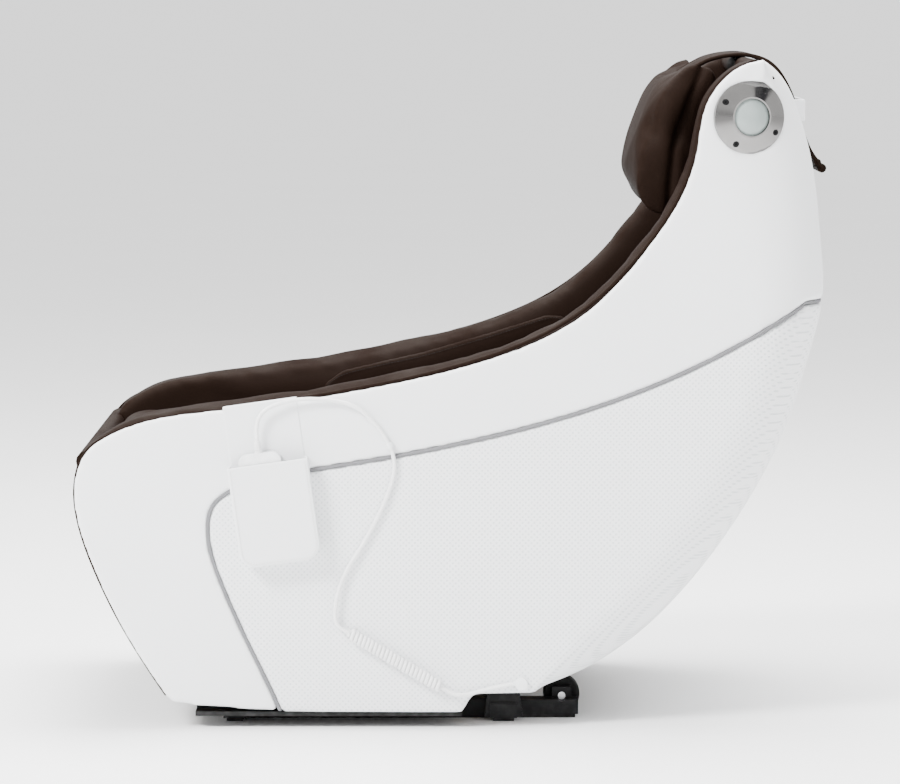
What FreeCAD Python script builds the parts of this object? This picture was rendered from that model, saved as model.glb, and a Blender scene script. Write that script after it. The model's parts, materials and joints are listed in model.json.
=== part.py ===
"""Compact massage lounge chair: reclining upholstered bucket on a low steel base.

Row frame in millimetres. The sitter faces -Y, +X is the sitter's left, +Z is up and z = 0 is the floor.
The origin is the middle of the chair's length and width at floor level.
Each function below makes one sub-part, and main() writes one STEP file per sub-part.
"""

import FreeCAD
import Part
import math
import os

V = FreeCAD.Vector
X_AXIS = V(1, 0, 0)

# ---------------------------------------------------------------- driving dimensions
COVER_X = 292.0          # outer face of the side covers, from the centre plane
COVER_T = 11.0           # thickness of the padded side and back covers
FRAME_X = (240.0, 256.0)  # plywood side frame, inner and outer face
PAD_X = 205.0            # half width of the centre pad
BOLSTER_X = (207.0, 280.5)
BOLSTER_RISE = 7.0       # the bolsters stand this far above the side covers' edge
ARC_CENTRE = (-165.0, 965.0)  # Y, Z of the centre that the massage track is struck from
PAD_R = 575.0            # radius of the pad's surface along the track
PAD_T = 25.0
RAIL_R = (632.0, 650.0)
RAIL_X = (150.0, 168.0)
RAIL_SPAN = (2.0, 67.0)  # degrees from straight down
CARRIAGE_AT = 34.0       # the carriage's place on the track, in degrees from straight down
GEAR_MODULE = 4.0
RACK_PITCH_R = 654.0
PINION_TEETH = 13
RECLINE_AXIS = (70.0, 80.0)   # Y, Z
ACTUATOR_FOOT = (-290.0, 47.0)
ACTUATOR_HEAD = (-225.0, 255.0)
WHEEL_R = 25.0
WHEEL_AT = (150.0, 27.0)
FLOOR_STRIP_T = 5.0
BASE_TUBE_TOP = 25.0
RUNNING = 0.05           # radial clearance of a running fit
CORD_D = 5.5
COIL_D = 17.0

# ---------------------------------------------------------------- outlines, in Y and Z
FRONT_EDGE = [(-378, 38), (-431, 119), (-482, 226), (-503, 300), (-499, 352), (-482, 380)]
SEAT_EDGE = [(-482, 380), (-445, 401), (-302, 429), (-94, 461), (69, 503), (178, 558), (259, 643),
             (307, 717), (327, 781), (336, 830), (359, 868), (413, 895)]
# the back's fullest line, from the top down
BACK_EDGE = [(413, 895), (437, 873), (461, 815), (478, 748), (491, 640), (494, 587), (477, 503), (446, 403),
             (392, 296), (316, 190), (239, 114), (174, 72), (110, 49)]
BACK_TAPER = [0, 0.35, 1, 1, 0.85, 0.8, 0.75, 0.7, 0.7, 0.65, 0.6, 0.4, 0]
BOTTOM_EDGE = [(110, 49), (27, 47), (13, 23), (-232, 24), (-348, 33), (-378, 38)]
PIPING = [(-222, 2), (-262, 91), (-311, 201), (-327, 265), (-319, 303), (-290, 324), (-186, 350), (1, 383),
          (165, 425), (316, 483), (425, 541), (520, 602)]
PIPING_W = 5.0
BACK_FULL = 6.0          # the back's middle stands this far outside its outline
CORNER = (75.0, 115.0)   # the back corner's quarter ellipse, along X and across the outline
FRAME_INSET = -17.0      # the back's outline at the side frames
SEAM_INSET = -28.0       # where the side covers are sewn to the back cover


def box(x0, x1, y0, y1, z0, z1):
    """An axis-aligned block between two corners."""
    return Part.makeBox(x1 - x0, y1 - y0, z1 - z0, V(x0, y0, z0))


def rod(y, z, r, x0, x1):
    """A cylinder along X."""
    return Part.makeCylinder(r, x1 - x0, V(x0, y, z), X_AXIS)


def mirrored(shape):
    """The same shape on the other side of the centre plane."""
    return shape.mirror(V(0, 0, 0), X_AXIS)


def spline(points):
    """A smooth edge through points in the YZ plane."""
    curve = Part.BSplineCurve()
    curve.interpolate([V(0, y, z) for y, z in points])
    return curve.toShape()


def lines(points):
    """Straight edges from point to point in the YZ plane."""
    return [Part.makeLine(V(0, *a), V(0, *b)) for a, b in zip(points, points[1:])]


def prism(edges, x0, x1):
    """The region inside a closed loop of YZ edges, as a solid from x0 to x1."""
    face = Part.Face(Part.Wire(Part.__sortEdges__(edges)))
    face.translate(V(x0, 0, 0))
    return face.extrude(V(x1 - x0, 0, 0))


def polygon(points, x0, x1):
    """A prism with straight sides."""
    return prism(lines(points + points[:1]), x0, x1)


def shifted(points, inward):
    """Points moved to the left of their direction of travel, each square to its neighbours' chord."""
    moved = []
    for i, (y, z) in enumerate(points):
        y0, z0 = points[max(i - 1, 0)]
        y1, z1 = points[min(i + 1, len(points) - 1)]
        length = math.hypot(y1 - y0, z1 - z0)
        moved.append((y - (z1 - z0) / length * inward, z + (y1 - y0) / length * inward))
    return moved


def back_line(offset):
    """The back's outline moved outwards by the offset, fading to nothing at its two ends."""
    full = shifted(BACK_EDGE, offset)
    return [(y + (y1 - y) * k, z + (z1 - z) * k) for (y, z), (y1, z1), k in zip(BACK_EDGE, full, BACK_TAPER)]


def on_track(radius, degrees):
    """Y and Z of a point at that radius from the track's centre, degrees from straight down."""
    a = math.radians(degrees)
    return ARC_CENTRE[0] + radius * math.sin(a), ARC_CENTRE[1] - radius * math.cos(a)


def track_arc(radius, start, end):
    """An arc edge struck from the track's centre."""
    stops = [V(0, *on_track(radius, a)) for a in (start, (start + end) / 2, end)]
    return Part.Arc(*stops).toShape()


def band(r0, r1, start, end, x0, x1):
    """A curved bar between two radii of the track."""
    ends = [Part.makeLine(V(0, *on_track(r0, a)), V(0, *on_track(r1, a))) for a in (start, end)]
    return prism([track_arc(r0, start, end), track_arc(r1, start, end)] + ends, x0, x1)


def rounded(shape, radius, keep=lambda edge: True):
    """The shape with the chosen edges filleted."""
    return shape.makeFillet(radius, [e for e in shape.Edges if keep(e)])


def along_x(edge):
    """Whether an edge is straight and runs along X."""
    return isinstance(edge.Curve, Part.Line) and abs(abs(edge.tangentAt(edge.FirstParameter).x) - 1) < 1e-6


# ---------------------------------------------------------------- base
def base_frame():
    """Welded base: two rails, two cross tubes, pivot ears, actuator lugs and wheel lugs."""
    z0, z1 = FLOOR_STRIP_T, BASE_TUBE_TOP
    pieces = [box(180, 210, -310, 172, z0, z1), box(-210, -180, -310, 172, z0, z1),
              box(-240, 240, -310, -280, z0, z1), box(-240, 240, 52, 88, z0, z1)]
    y, z = RECLINE_AXIS
    for x in (226.0, -236.0):
        ear = polygon([(y - 26, z0), (y + 26, z0), (y + 15, z + 16), (y - 15, z + 16)], x, x + 10)
        pieces.append(rounded(ear, 12, lambda e: along_x(e) and e.BoundBox.ZMin > z))
    y, z = ACTUATOR_FOOT
    for x in (16.0, -22.0):
        pieces.append(box(x, x + 6, y - 13, y + 13, z1 - 1, z + 12))
    y, z = WHEEL_AT
    for x in (180.0, -188.0):
        pieces.append(box(x, x + 8, y - 13, y + 13, z1 - 1, z + 12))
    frame = pieces[0].multiFuse(pieces[1:]).removeSplitter()
    for y, z, r, half in ((*RECLINE_AXIS, 8, 260), (*ACTUATOR_FOOT, 5, 30), (*WHEEL_AT, 5, 215)):
        frame = frame.cut(rod(y, z, r, -half, half))
    return frame


def floor_strip():
    """Rubber strip under the rails and the two cross tubes that the chair stands on."""
    bars = [box(182, 208, -306, 168, 0, FLOOR_STRIP_T), box(-208, -182, -306, 168, 0, FLOOR_STRIP_T),
            box(-236, 236, -306, -284, 0, FLOOR_STRIP_T), box(-236, 236, 56, 84, 0, FLOOR_STRIP_T)]
    return bars[0].multiFuse(bars[1:]).removeSplitter()


def pivot_pins():
    """Two recline pins, the actuator's foot pin and the two wheel axles, each a separate solid."""
    y, z = RECLINE_AXIS
    pins = [rod(y, z, 8, 224, 256), rod(y, z, 8, -256, -224)]
    pins.append(rod(*ACTUATOR_FOOT, 5, -24, 24))
    pins += [rod(*WHEEL_AT, 5, 148, 190), rod(*WHEEL_AT, 5, -190, -148)]
    return Part.makeCompound(pins)


def wheel(side):
    """Transport wheel: hub, web and tyre in one moulding."""
    y, z = WHEEL_AT
    body = rounded(rod(y, z, WHEEL_R, 151, 177), 4)
    body = body.cut(rod(y, z, 17, 146, 154)).cut(rod(y, z, 17, 174, 180))
    body = body.fuse(rod(y, z, 9, 150, 178)).cut(rod(y, z, 5 + RUNNING, 140, 190))
    return body if side > 0 else mirrored(body)


# ---------------------------------------------------------------- recline actuator
def actuator_frame_point(s, t):
    """Y and Z of a point s along the actuator from its foot and t to its front."""
    dy, dz = ACTUATOR_HEAD[0] - ACTUATOR_FOOT[0], ACTUATOR_HEAD[1] - ACTUATOR_FOOT[1]
    length = math.hypot(dy, dz)
    dy, dz = dy / length, dz / length
    return ACTUATOR_FOOT[0] + s * dy - t * dz, ACTUATOR_FOOT[1] + s * dz + t * dy


def actuator_cylinder(radius, s0, s1, t=0.0, x=0.0):
    """A cylinder along the actuator's axis, t to the front of it."""
    a, b = (V(x, *actuator_frame_point(s, t)) for s in (s0, s1))
    return Part.makeCylinder(radius, s1 - s0, a, b - a)


def actuator_housing():
    """Foot eye, outer tube and the motor beside it."""
    body = actuator_cylinder(22, 20, 176).fuse(rod(*ACTUATOR_FOOT, 12, -14, 14))
    body = body.fuse(actuator_cylinder(9, 0, 24))
    corners = [actuator_frame_point(s, t) for s, t in ((22, -24), (22, 62), (56, 62), (56, -24))]
    gearbox = polygon(corners, -26, 26)
    body = body.fuse(rounded(gearbox, 6)).fuse(rounded(actuator_cylinder(19, 50, 134, 42), 3))
    body = body.cut(actuator_cylinder(11, 40, 180))
    return body.cut(rod(*ACTUATOR_FOOT, 5 + RUNNING, -30, 30))


def actuator_rod():
    """Lift rod with an eye. The eye's bore is wide, because this pivot is the opened one of the linkage."""
    reach = math.hypot(ACTUATOR_HEAD[0] - ACTUATOR_FOOT[0], ACTUATOR_HEAD[1] - ACTUATOR_FOOT[1])
    body = actuator_cylinder(10, 48, reach - 8).fuse(rod(*ACTUATOR_HEAD, 15, -9, 9))
    return body.cut(rod(*ACTUATOR_HEAD, 9, -20, 20))


# ---------------------------------------------------------------- bucket frame
def pad_profile(depth):
    """Edges of the seat's centre line, that far under the pad's surface: front, track arc and top."""
    front = shifted([(-484, 352), (-462, 373), (-420, 381), (-300, 388), on_track(PAD_R, -4)], -depth)
    top = shifted([on_track(PAD_R, 70), (388, 832), (399, 862), (409, 884)], -depth)
    r = PAD_R + depth
    front[-1], top[0] = on_track(r, -4), on_track(r, 70)
    return front, top


def pad_edges(depth):
    """The seat line at that depth as three edges, with its first and last point."""
    front, top = pad_profile(depth)
    return [spline(front), track_arc(PAD_R + depth, -4, 70), spline(top)], front[0], top[-1]


def corner_sections(half_width, wall):
    """Places across the back corner, from the back round to the side: X, and how far the outline moves."""
    rx, ry = CORNER[0] - wall, CORNER[1] - wall
    turns = [math.radians(a) for a in (90, 72, 54, 36, 18, 0)]
    return [(half_width - rx + rx * math.cos(a), BACK_FULL - wall - ry * (1 - math.sin(a))) for a in turns]


def bucket(half_width, wall, front_side):
    """A solid bucket: a loft round each back corner, a straight middle and the given front."""
    wires = []
    for x, offset in corner_sections(half_width, wall):
        wire = Part.Wire(Part.__sortEdges__([spline(back_line(offset))] + front_side(back_line(offset))))
        wire.translate(V(x, 0, 0))
        wires.append(wire)
    corner = Part.makeLoft(wires, True, False)
    x = half_width - CORNER[0] + wall
    middle = Part.Face(wires[0]).extrude(V(-2 * x, 0, 0))
    return middle.multiFuse([corner, mirrored(corner)]).removeSplitter()


def outer_front(back):
    """The seat, front and bottom edges of the chair's side outline."""
    return [spline(FRONT_EDGE), spline(SEAT_EDGE)] + lines(BOTTOM_EDGE)


def inner_front(back):
    """Edges far outside the chair, so that the bucket's mouth, front and bottom come out open."""
    return lines([back[-1], (BOTTOM_EDGE[0][0], -60), (-700, -60), (-700, 1100), (380, 1100), back[0]])


SHELL = []               # the shell, kept once it is made


def shell():
    """The padded shell of the bucket, sides and back in one, before it is cut along its seams."""
    if not SHELL:
        SHELL.append(bucket(COVER_X, 0, outer_front).cut(bucket(COVER_X - COVER_T, COVER_T, inner_front)))
    return SHELL[0]


LIGHTENING_HOLES = [(-365, 220, 48), (-215, 190, 50), (-50, 200, 50), (120, 240, 50), (255, 320, 48),
                    (360, 450, 44)]   # Y, Z and radius


def side_frame(side):
    """Plywood side of the bucket, with lightening holes and the recline pivot's bore."""
    seat, first, last = pad_edges(PAD_T + 2)
    back = shifted(back_line(FRAME_INSET), -14)[2:-2]
    back[0] = (426, 822)
    front = [(-372, 52), (-419, 130), (-464, 236), (-483, 300), first]
    rim = [spline(front), spline(back)] + seat
    rim += lines([last, back[0]]) + lines([back[-1], (118, 62), (100, 54), (24, 54), (-372, 52)])
    plate = prism(rim, *FRAME_X)
    for y, z, r in LIGHTENING_HOLES:
        plate = plate.cut(rod(y, z, r, 200, 300))
    plate = plate.cut(rod(*RECLINE_AXIS, 8 + RUNNING, 200, 300)).cut(shell())
    return plate if side > 0 else mirrored(plate)


TRACK_TUBES = [(-214, 292, 14), (243, 360, 12), (432, 768, 9)]
SPARE_TUBES = [(-400, 120, 12), (290, 238, 12)]


def cross_tubes():
    """Steel tubes that join the side frames, with the actuator's head lugs and pin on the front one."""
    half = FRAME_X[0]
    tubes = []
    for y, z, r in TRACK_TUBES + SPARE_TUBES:
        tubes.append(rod(y, z, r, -half, half).cut(rod(y, z, r - 2, -half - 1, half + 1)))
    y, z = ACTUATOR_HEAD
    lug = [(y - 12, z - 12), (y + 12, z - 12), (-204, 284), (-224, 284)]
    lugs = [polygon(lug, x, x + 6) for x in (13, -19)]
    tubes[0] = tubes[0].multiFuse([lug.cut(rod(-214, 292, 12.5, -30, 30)) for lug in lugs])
    tubes[0] = tubes[0].fuse(rod(y, z, 5, -21, 21))
    return Part.makeCompound(tubes)


def tooth_ring(teeth, pitch_r, addendum, dedendum, centre, first, count, thin):
    """Points of a run of trapezoid teeth that point outwards, for a rack or a pinion, in the YZ plane."""
    points = []
    pitch = 2 * math.pi / teeth
    tip, root = pitch_r + addendum, pitch_r - dedendum
    for i in range(count):
        middle = first + i * pitch
        for radius, share in ((root, -0.36), (tip, -0.13 + thin), (tip, 0.13 - thin), (root, 0.36)):
            a = middle + share * pitch
            points.append((centre[0] + radius * math.sin(a), centre[1] - radius * math.cos(a)))
    return points


def guide_rail(side):
    """Curved rail with a rack on its outer edge and three hangers to the cross tubes."""
    r0, r1 = RAIL_R
    teeth = int(2 * RACK_PITCH_R / GEAR_MODULE)
    pitch = 360.0 / teeth
    count = int((RAIL_SPAN[1] - RAIL_SPAN[0]) / pitch)
    first = CARRIAGE_AT + PINION_OFFSET + pitch / 2 - pitch * int(count * 0.56)
    points = tooth_ring(teeth, RACK_PITCH_R, 3.4, 4.4, ARC_CENTRE, math.radians(first), count, 0.02)
    start, end = first - 0.36 * pitch, first + (count - 1 + 0.36) * pitch
    ends = lines([points[0], on_track(r0, start)]) + lines([points[-1], on_track(r0, end)])
    rail = prism(lines(points) + ends + [track_arc(r0, start, end)], *RAIL_X)
    for (y, z, r), angle in zip(TRACK_TUBES, (3.6, 34.0, 65.0)):
        grip = [on_track(r0 + d, angle + a) for d, a in ((2, -1.5), (2, 1.5), (14, 1.5), (14, -1.5))]
        saddle = [(y + dy, z + dz) for dy, dz in ((-15, -15), (15, -15), (15, 15), (-15, 15))]
        hanger = polygon(hull_of(grip + saddle), RAIL_X[1], RAIL_X[1] + 6).cut(rod(y, z, r, 100, 200))
        rail = rail.fuse(hanger)
    rail = rail.removeSplitter()
    return rail if side > 0 else mirrored(rail)


def hull_of(points):
    """The convex outline round points in a plane, in order."""
    points = sorted(points)
    chains = []
    for run in (points, points[::-1]):
        chain = []
        for p in run:
            while len(chain) > 1 and ((chain[-1][0] - chain[-2][0]) * (p[1] - chain[-2][1])
                                      - (chain[-1][1] - chain[-2][1]) * (p[0] - chain[-2][0])) <= 0:
                chain.pop()
            chain.append(p)
        chains += chain[:-1]
    return chains


# ---------------------------------------------------------------- massage carriage
PINION_OFFSET = 4.5      # degrees along the track from the carriage's centre to its drive shaft
SHAFT_R = RACK_PITCH_R + GEAR_MODULE * PINION_TEETH / 2
KNEAD_R = 648.0
TIE_BARS = (-6.2, 0.4)
ROLLER_R = 26.0
ROLLER_TRACK_R = 637.0
ROLLER_OFFSET = 6.3


def carriage_frame():
    """Two side plates with nylon shoes that run on the rails, joined by two tie bars."""
    at = CARRIAGE_AT
    solids = []
    for sign in (1, -1):
        plate = band(622, 696, at - 6.8, at + 6.8, 136, 142)
        plate = plate.cut(rod(*on_track(KNEAD_R, at), 8 + RUNNING, 100, 200))
        plate = plate.cut(rod(*on_track(SHAFT_R, at + PINION_OFFSET), 6 + RUNNING, 100, 200))
        shoes = [band(622, RAIL_R[0] - 0.5, at + a - 1, at + a + 1, 142, 164) for a in (-5.4, 5.4)]
        plate = plate.multiFuse(shoes)
        solids.append(plate if sign > 0 else mirrored(plate))
    bars = [rod(*on_track(688, at + a), 5, -136.5, 136.5) for a in TIE_BARS]
    return solids[0].multiFuse(solids[1:] + bars)


def drive_motors():
    """Travel motor and kneading gearbox, two solids clamped on the carriage's tie bars."""
    at = CARRIAGE_AT
    travel = rounded(rod(*on_track(672, at - 4.4), 15, -46, 46), 3)
    travel = travel.fuse(band(672, 694, at - 6.8, at - 4.4, -20, 20))
    knead = band(630, 689, at - 1.9, at + 2.1, -36, 36).cut(rod(*on_track(KNEAD_R, at), 8.4, -60, 60))
    bars = [rod(*on_track(688, at + a), 5, -60, 60) for a in TIE_BARS]
    return Part.makeCompound([solid.cut(bar) for solid, bar in zip((travel, knead), bars)])


def travel_shaft():
    """Drive shaft with a pinion at each end, in mesh with the two racks."""
    y, z = on_track(SHAFT_R, CARRIAGE_AT + PINION_OFFSET)
    # one pinion tooth points straight at the rack, where the rack has a space
    toward_rack = math.radians(CARRIAGE_AT + PINION_OFFSET) + math.pi
    radius = GEAR_MODULE * PINION_TEETH / 2
    points = tooth_ring(PINION_TEETH, radius, 3.2, 4.4, (y, z), toward_rack, PINION_TEETH, 0.035)
    shaft = rod(y, z, 6, -168, 168)
    for x0 in (RAIL_X[0] + 1, 1 - RAIL_X[1]):
        shaft = shaft.fuse(polygon(points, x0, x0 + 16))
    return shaft.removeSplitter()


def kneading_shaft():
    """Shaft that the two massage arms hang on, with an eccentric collar beside each arm."""
    y, z = on_track(KNEAD_R, CARRIAGE_AT)
    shaft = rod(y, z, 8, -140, 140)
    for x0, dy in ((104, 3), (-116, -3)):
        shaft = shaft.fuse(rod(y + dy, z, 14, x0, x0 + 12))
    return shaft


def massage_arm(side):
    """Rocking arm with a stub axle at each end for the massage rollers."""
    hub = on_track(KNEAD_R, CARRIAGE_AT)
    ends = [on_track(ROLLER_TRACK_R, CARRIAGE_AT + a) for a in (ROLLER_OFFSET, -ROLLER_OFFSET)]
    arm = rod(*hub, 17, 50, 70)
    for end in ends:
        dy, dz = end[0] - hub[0], end[1] - hub[1]
        length = math.hypot(dy, dz)
        ny, nz = -dz / length * 9, dy / length * 9
        web = polygon([(hub[0] + ny, hub[1] + nz), (end[0] + ny, end[1] + nz), (end[0] - ny, end[1] - nz),
                       (hub[0] - ny, hub[1] - nz)], 52, 68)
        arm = arm.fuse(web).fuse(rod(*end, 9, 52, 68)).fuse(rod(*end, 5, 60, 101))
    arm = arm.cut(rod(*hub, 8 + RUNNING, 40, 80))
    return arm if side > 0 else mirrored(arm)


def massage_roller(side, angle):
    """Soft roller that turns on the arm's stub axle."""
    y, z = on_track(ROLLER_TRACK_R, CARRIAGE_AT + angle)
    body = rounded(rod(y, z, ROLLER_R, 74, 98), 8).cut(rod(y, z, 5 + RUNNING, 60, 110))
    return body if side > 0 else mirrored(body)


# ---------------------------------------------------------------- covers and upholstery
def piping_band():
    """The ribbon that the piping takes up between the upper and lower side covers."""
    a, b = shifted(PIPING, PIPING_W / 2), shifted(PIPING, -PIPING_W / 2)
    edges = [spline(a), spline(b)] + lines([a[0], b[0]]) + lines([a[-1], b[-1]])
    return prism(edges, COVER_X - 60, COVER_X + 10)


def seam_prism(inset):
    """Everything in front of the seam between the side covers and the back cover."""
    back = back_line(inset)
    return prism([spline(back)] + inner_front(back), -COVER_X - 10, COVER_X + 10)


def side_cover(side, upper):
    """Padded side cover, above or below the piping."""
    plate = shell().common(seam_prism(SEAM_INSET)).common(box(0, 400, -700, 700, -100, 1200))
    plate = plate.cut(piping_band())
    solids = sorted(plate.Solids, key=lambda s: s.CenterOfMass.z)
    chosen = solids[-1] if upper else solids[0]
    if upper:
        chosen = chosen.cut(speaker_recess())
    return chosen if side > 0 else mirrored(chosen)


BACK_SEAM_Z = 572.0


WHEEL_WELL = box(-228, 228, 60, 240, 0, 112)


def back_strip():
    """The back of the shell, from corner seam to corner seam."""
    return shell().cut(seam_prism(SEAM_INSET))


def back_cover(upper):
    """Padded back cover, above or below the piping."""
    half = PIPING_W / 2
    z0, z1 = (BACK_SEAM_Z + half, 1000) if upper else (0, BACK_SEAM_Z - half)
    cover = back_strip().common(box(-300, 300, 0, 600, z0, z1))
    recess = speaker_recess()
    if upper:
        return cover.cut(recess).cut(mirrored(recess))
    return cover.cut(WHEEL_WELL).cut(on_panel(box(-34, 34, -30, 30, -20, 20)))


def piping():
    """Grey piping round the lower covers: left, right and back lengths. It is cut away behind the pocket."""
    proud = bucket(COVER_X + 2, 0, outer_front).cut(bucket(COVER_X - COVER_T, COVER_T, inner_front))
    side = proud.common(piping_band()).common(seam_prism(SEAM_INSET))
    left = side.cut(in_pocket(box(COVER_X, COVER_X + 40, -54, 54, -136, 80)))
    half = PIPING_W / 2
    back = back_strip().common(box(-300, 300, 0, 600, BACK_SEAM_Z - half, BACK_SEAM_Z + half))
    return Part.makeCompound([left, mirrored(side), back])


def front_panel():
    """Leather panel that closes the front of the bucket, from the floor end up to the seat's nose."""
    outer = shifted([(-380, 46)] + FRONT_EDGE[1:4] + [(-500, 338)], 4)
    inner = shifted(outer, -14)
    rim = [spline(outer), spline(inner)] + lines([outer[0], inner[0]]) + lines([outer[-1], inner[-1]])
    return prism(rim, -BOLSTER_X[1], BOLSTER_X[1])


def centre_pad():
    """Seat and back pad along the track, from the seat's nose to the top of the back."""
    surface, first, last = pad_edges(0)
    under, first_under, last_under = pad_edges(PAD_T)
    rim = surface + under + lines([first, first_under]) + lines([last, last_under])
    return prism(rim, -PAD_X, PAD_X).cut(shell())


def bolster(side):
    """Raised edge of the seat and back beside the centre pad."""
    under, first, last = pad_edges(PAD_T)
    top = shifted(SEAT_EDGE, BOLSTER_RISE)
    top[0], top[-1] = (-480, 387), (409, 897)
    rim = under + [spline(top)] + lines([first, (-497, 352), top[0]]) + lines([last, top[-1]])
    body = prism(rim, *BOLSTER_X).cut(shell()).cut(speaker_recess())
    return body if side > 0 else mirrored(body)


def hip_pad(side):
    """Thin stitched pad on the bolster's inner face beside the hips."""
    rim = [(-190, 402), (-182, 420), (-158, 437), (-100, 451), (-42, 464), (55, 492), (138, 518), (161, 516),
           (172, 507), (150, 494), (70, 448), (0, 423), (-90, 404)]
    pad = polygon(rim, 199, BOLSTER_X[0])
    return pad if side > 0 else mirrored(pad)


def underside_panel():
    """Black board that closes the bottom, with a slot for the actuator and a lip along each side."""
    board = box(-256, 256, -345, 13, 27, 31).cut(box(-62, 62, -360, -150, 20, 40))
    for x in (250, -256):
        board = board.fuse(box(x, x + 6, -345, 13, 16, 31))
    for x in (250, -287):
        board = board.fuse(box(x, x + 37, -345, 13, 16, 22))
    return board.removeSplitter()


# ---------------------------------------------------------------- speakers
SPEAKER_AT = (284.0, 395.0, 820.0)
SPEAKER_YAW = 17.0
SPEAKER_R = 49.0
SCREW_SPOTS = [(41 * math.cos(math.radians(a)), 41 * math.sin(math.radians(a))) for a in (60, 150, 240, 330)]


def on_speaker(shape):
    """Move a shape from the speaker's own frame, whose x runs out of the trim ring."""
    shape.rotate(V(0, 0, 0), V(0, 0, 1), SPEAKER_YAW)
    shape.translate(V(*SPEAKER_AT))
    return shape


def speaker_recess():
    """What the trim ring takes out of the leather and foam under it, on the left."""
    return on_speaker(rod(0, 0, SPEAKER_R + 0.2, -8.2, 20))


def speaker_bezel(side):
    """Conical chrome trim ring with a skirt, four countersunk screw holes and a seat for the dome."""
    cone = Part.makeCone(SPEAKER_R, 27, 9, V(0, 0, 0), X_AXIS)
    ring = cone.fuse(rod(0, 0, SPEAKER_R, -8, 0)).cut(rod(0, 0, 25, -10, 20))
    for y, z in SCREW_SPOTS:
        ring = ring.cut(rod(y, z, 2.2, -9, 12)).cut(rod(y, z, 4.2, 1, 12))
    ring = on_speaker(ring)
    return ring if side > 0 else mirrored(ring)


def speaker_domes():
    """Frosted dome in the middle of each trim ring."""
    ball = Part.makeSphere(40, V(-26, 0, 0))
    dome = on_speaker(ball.common(rod(0, 0, 24.9, -8, 30)))
    return Part.makeCompound([dome, mirrored(dome)])


def bezel_screws():
    """Eight socket screws, four in each trim ring."""
    screws = []
    for y, z in SCREW_SPOTS:
        screw = rod(y, z, 2.0, -6, 2).fuse(rod(y, z, 3.9, 1.1, 3.4)).cut(rod(y, z, 1.6, 2.2, 4))
        screws.append(on_speaker(screw))
    return Part.makeCompound(screws + [mirrored(screw) for screw in screws])


# ---------------------------------------------------------------- pillow and its strap
STRAP_FOLD = (407.0, 898.5)   # Y, Z of the fold that the pillow swings about
STRAP_X = 75.0
STRAP_T = 4.0


def pillow():
    """Head pillow that hangs in front of the back pad, with the front length of its strap."""
    outline = [(292, 672), (256, 690), (244, 726), (252, 772), (274, 832), (306, 880), (340, 897),
               (364, 884), (354, 826), (342, 764), (326, 700), (292, 672)]
    curve = Part.BSplineCurve()
    curve.interpolate([V(0, y, z) for y, z in outline[:-1]], PeriodicFlag=True)
    return prism([curve.toShape()], -160, 160)


def strap(points):
    """A flat strap along points in the YZ plane."""
    a, b = shifted(points, STRAP_T / 2), shifted(points, -STRAP_T / 2)
    return prism([spline(a), spline(b)] + lines([a[0], b[0]]) + lines([a[-1], b[-1]]), -STRAP_X, STRAP_X)


def front_strap():
    """Strap from the pillow's top to its rounded fold at the crest, less what the pillow takes up."""
    y, z = STRAP_FOLD
    front = strap([(340, 884), (362, 894), (384, z), (y, z)])
    return front.fuse(rod(y, z, STRAP_T / 2, -STRAP_X, STRAP_X)).removeSplitter().cut(pillow())


def rear_strap():
    """Strap from the crest, down close behind the back and out to its loose end."""
    return strap([(411, 898), (430, 892), (446, 880), (459, 861), (469, 839), (476, 815), (480, 800),
                  (485, 787), (493, 768), (503, 753), (510, 741)])


def strap_loop():
    """White leather loop on the back cover that the strap passes through."""
    y1, z0, z1 = 485.5, 808.0, 838.0
    band_out = box(-86, 86, 440, y1, z0, z1).cut(box(-82, 82, 430, y1 - 3, z0 - 1, z1 + 1))
    return band_out.cut(bucket(COVER_X, 0, outer_front))


# ---------------------------------------------------------------- remote in its side pocket
POCKET_AT = (-246.0, 361.5)   # Y, Z of the middle of the pocket's mouth
POCKET_TILT = 7.9
REMOTE_U = -10.0
REMOTE_X = (296.0, 313.0)
BUTTONS = {"button_power": (-16, -10, 5.5), "button_auto": (-44, -10, 5.0), "button_up": (-68, -10, 5.0),
           "button_down": (-90, -10, 5.0)}  # distance below the mouth, place across, radius


def in_pocket(shape):
    """Move a shape from the pocket's own frame, whose y runs along the mouth and z out of it."""
    shape.rotate(V(0, 0, 0), X_AXIS, POCKET_TILT)
    shape.translate(V(0, *POCKET_AT))
    return shape


def pocket():
    """Leather pocket with a hanging panel that folds over the cover's top edge."""
    pouch = rounded(box(COVER_X, 318, -54, 54, -136, 0), 21, lambda e: e.BoundBox.ZMax < -135 and along_x(e))
    inner = box(294, 315.5, -51.5, 51.5, -133.5, 10)
    inner = rounded(inner, 18.5, lambda e: e.BoundBox.ZMax < -133 and along_x(e))
    body = pouch.cut(inner).fuse(box(COVER_X, 294, -50, 50, -10, 80)).fuse(box(281.2, 294, -50, 50, 78, 80))
    return in_pocket(body.removeSplitter())


def remote():
    """Remote handset, standing in the pocket, with a well for each button."""
    body = box(*REMOTE_X, REMOTE_U - 28.5, REMOTE_U + 28.5, -130, 14)
    body = rounded(body, 12, along_x)
    for v, u, r in BUTTONS.values():
        body = body.cut(rod(u, v, r + 0.2, REMOTE_X[1] - 5, REMOTE_X[1] + 1))
    return in_pocket(body)


def button(v, u, r):
    """Round button, with room behind it to be pressed."""
    return in_pocket(rod(u, v, r, REMOTE_X[1] - 3, REMOTE_X[1] + 1))


def strain_relief():
    """Ribbed sleeve where the cord leaves the remote."""
    x = sum(REMOTE_X) / 2
    sleeve = Part.makeCone(5.2, 4.0, 16, V(x, REMOTE_U, 14), V(0, 0, 1))
    for z in (17.5, 21, 24.5):
        ring = Part.makeCylinder(8, 1.2, V(x, REMOTE_U, z), V(0, 0, 1))
        sleeve = sleeve.cut(ring.cut(Part.makeCylinder(3.6, 1.2, V(x, REMOTE_U, z), V(0, 0, 1))))
    return in_pocket(sleeve)


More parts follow.
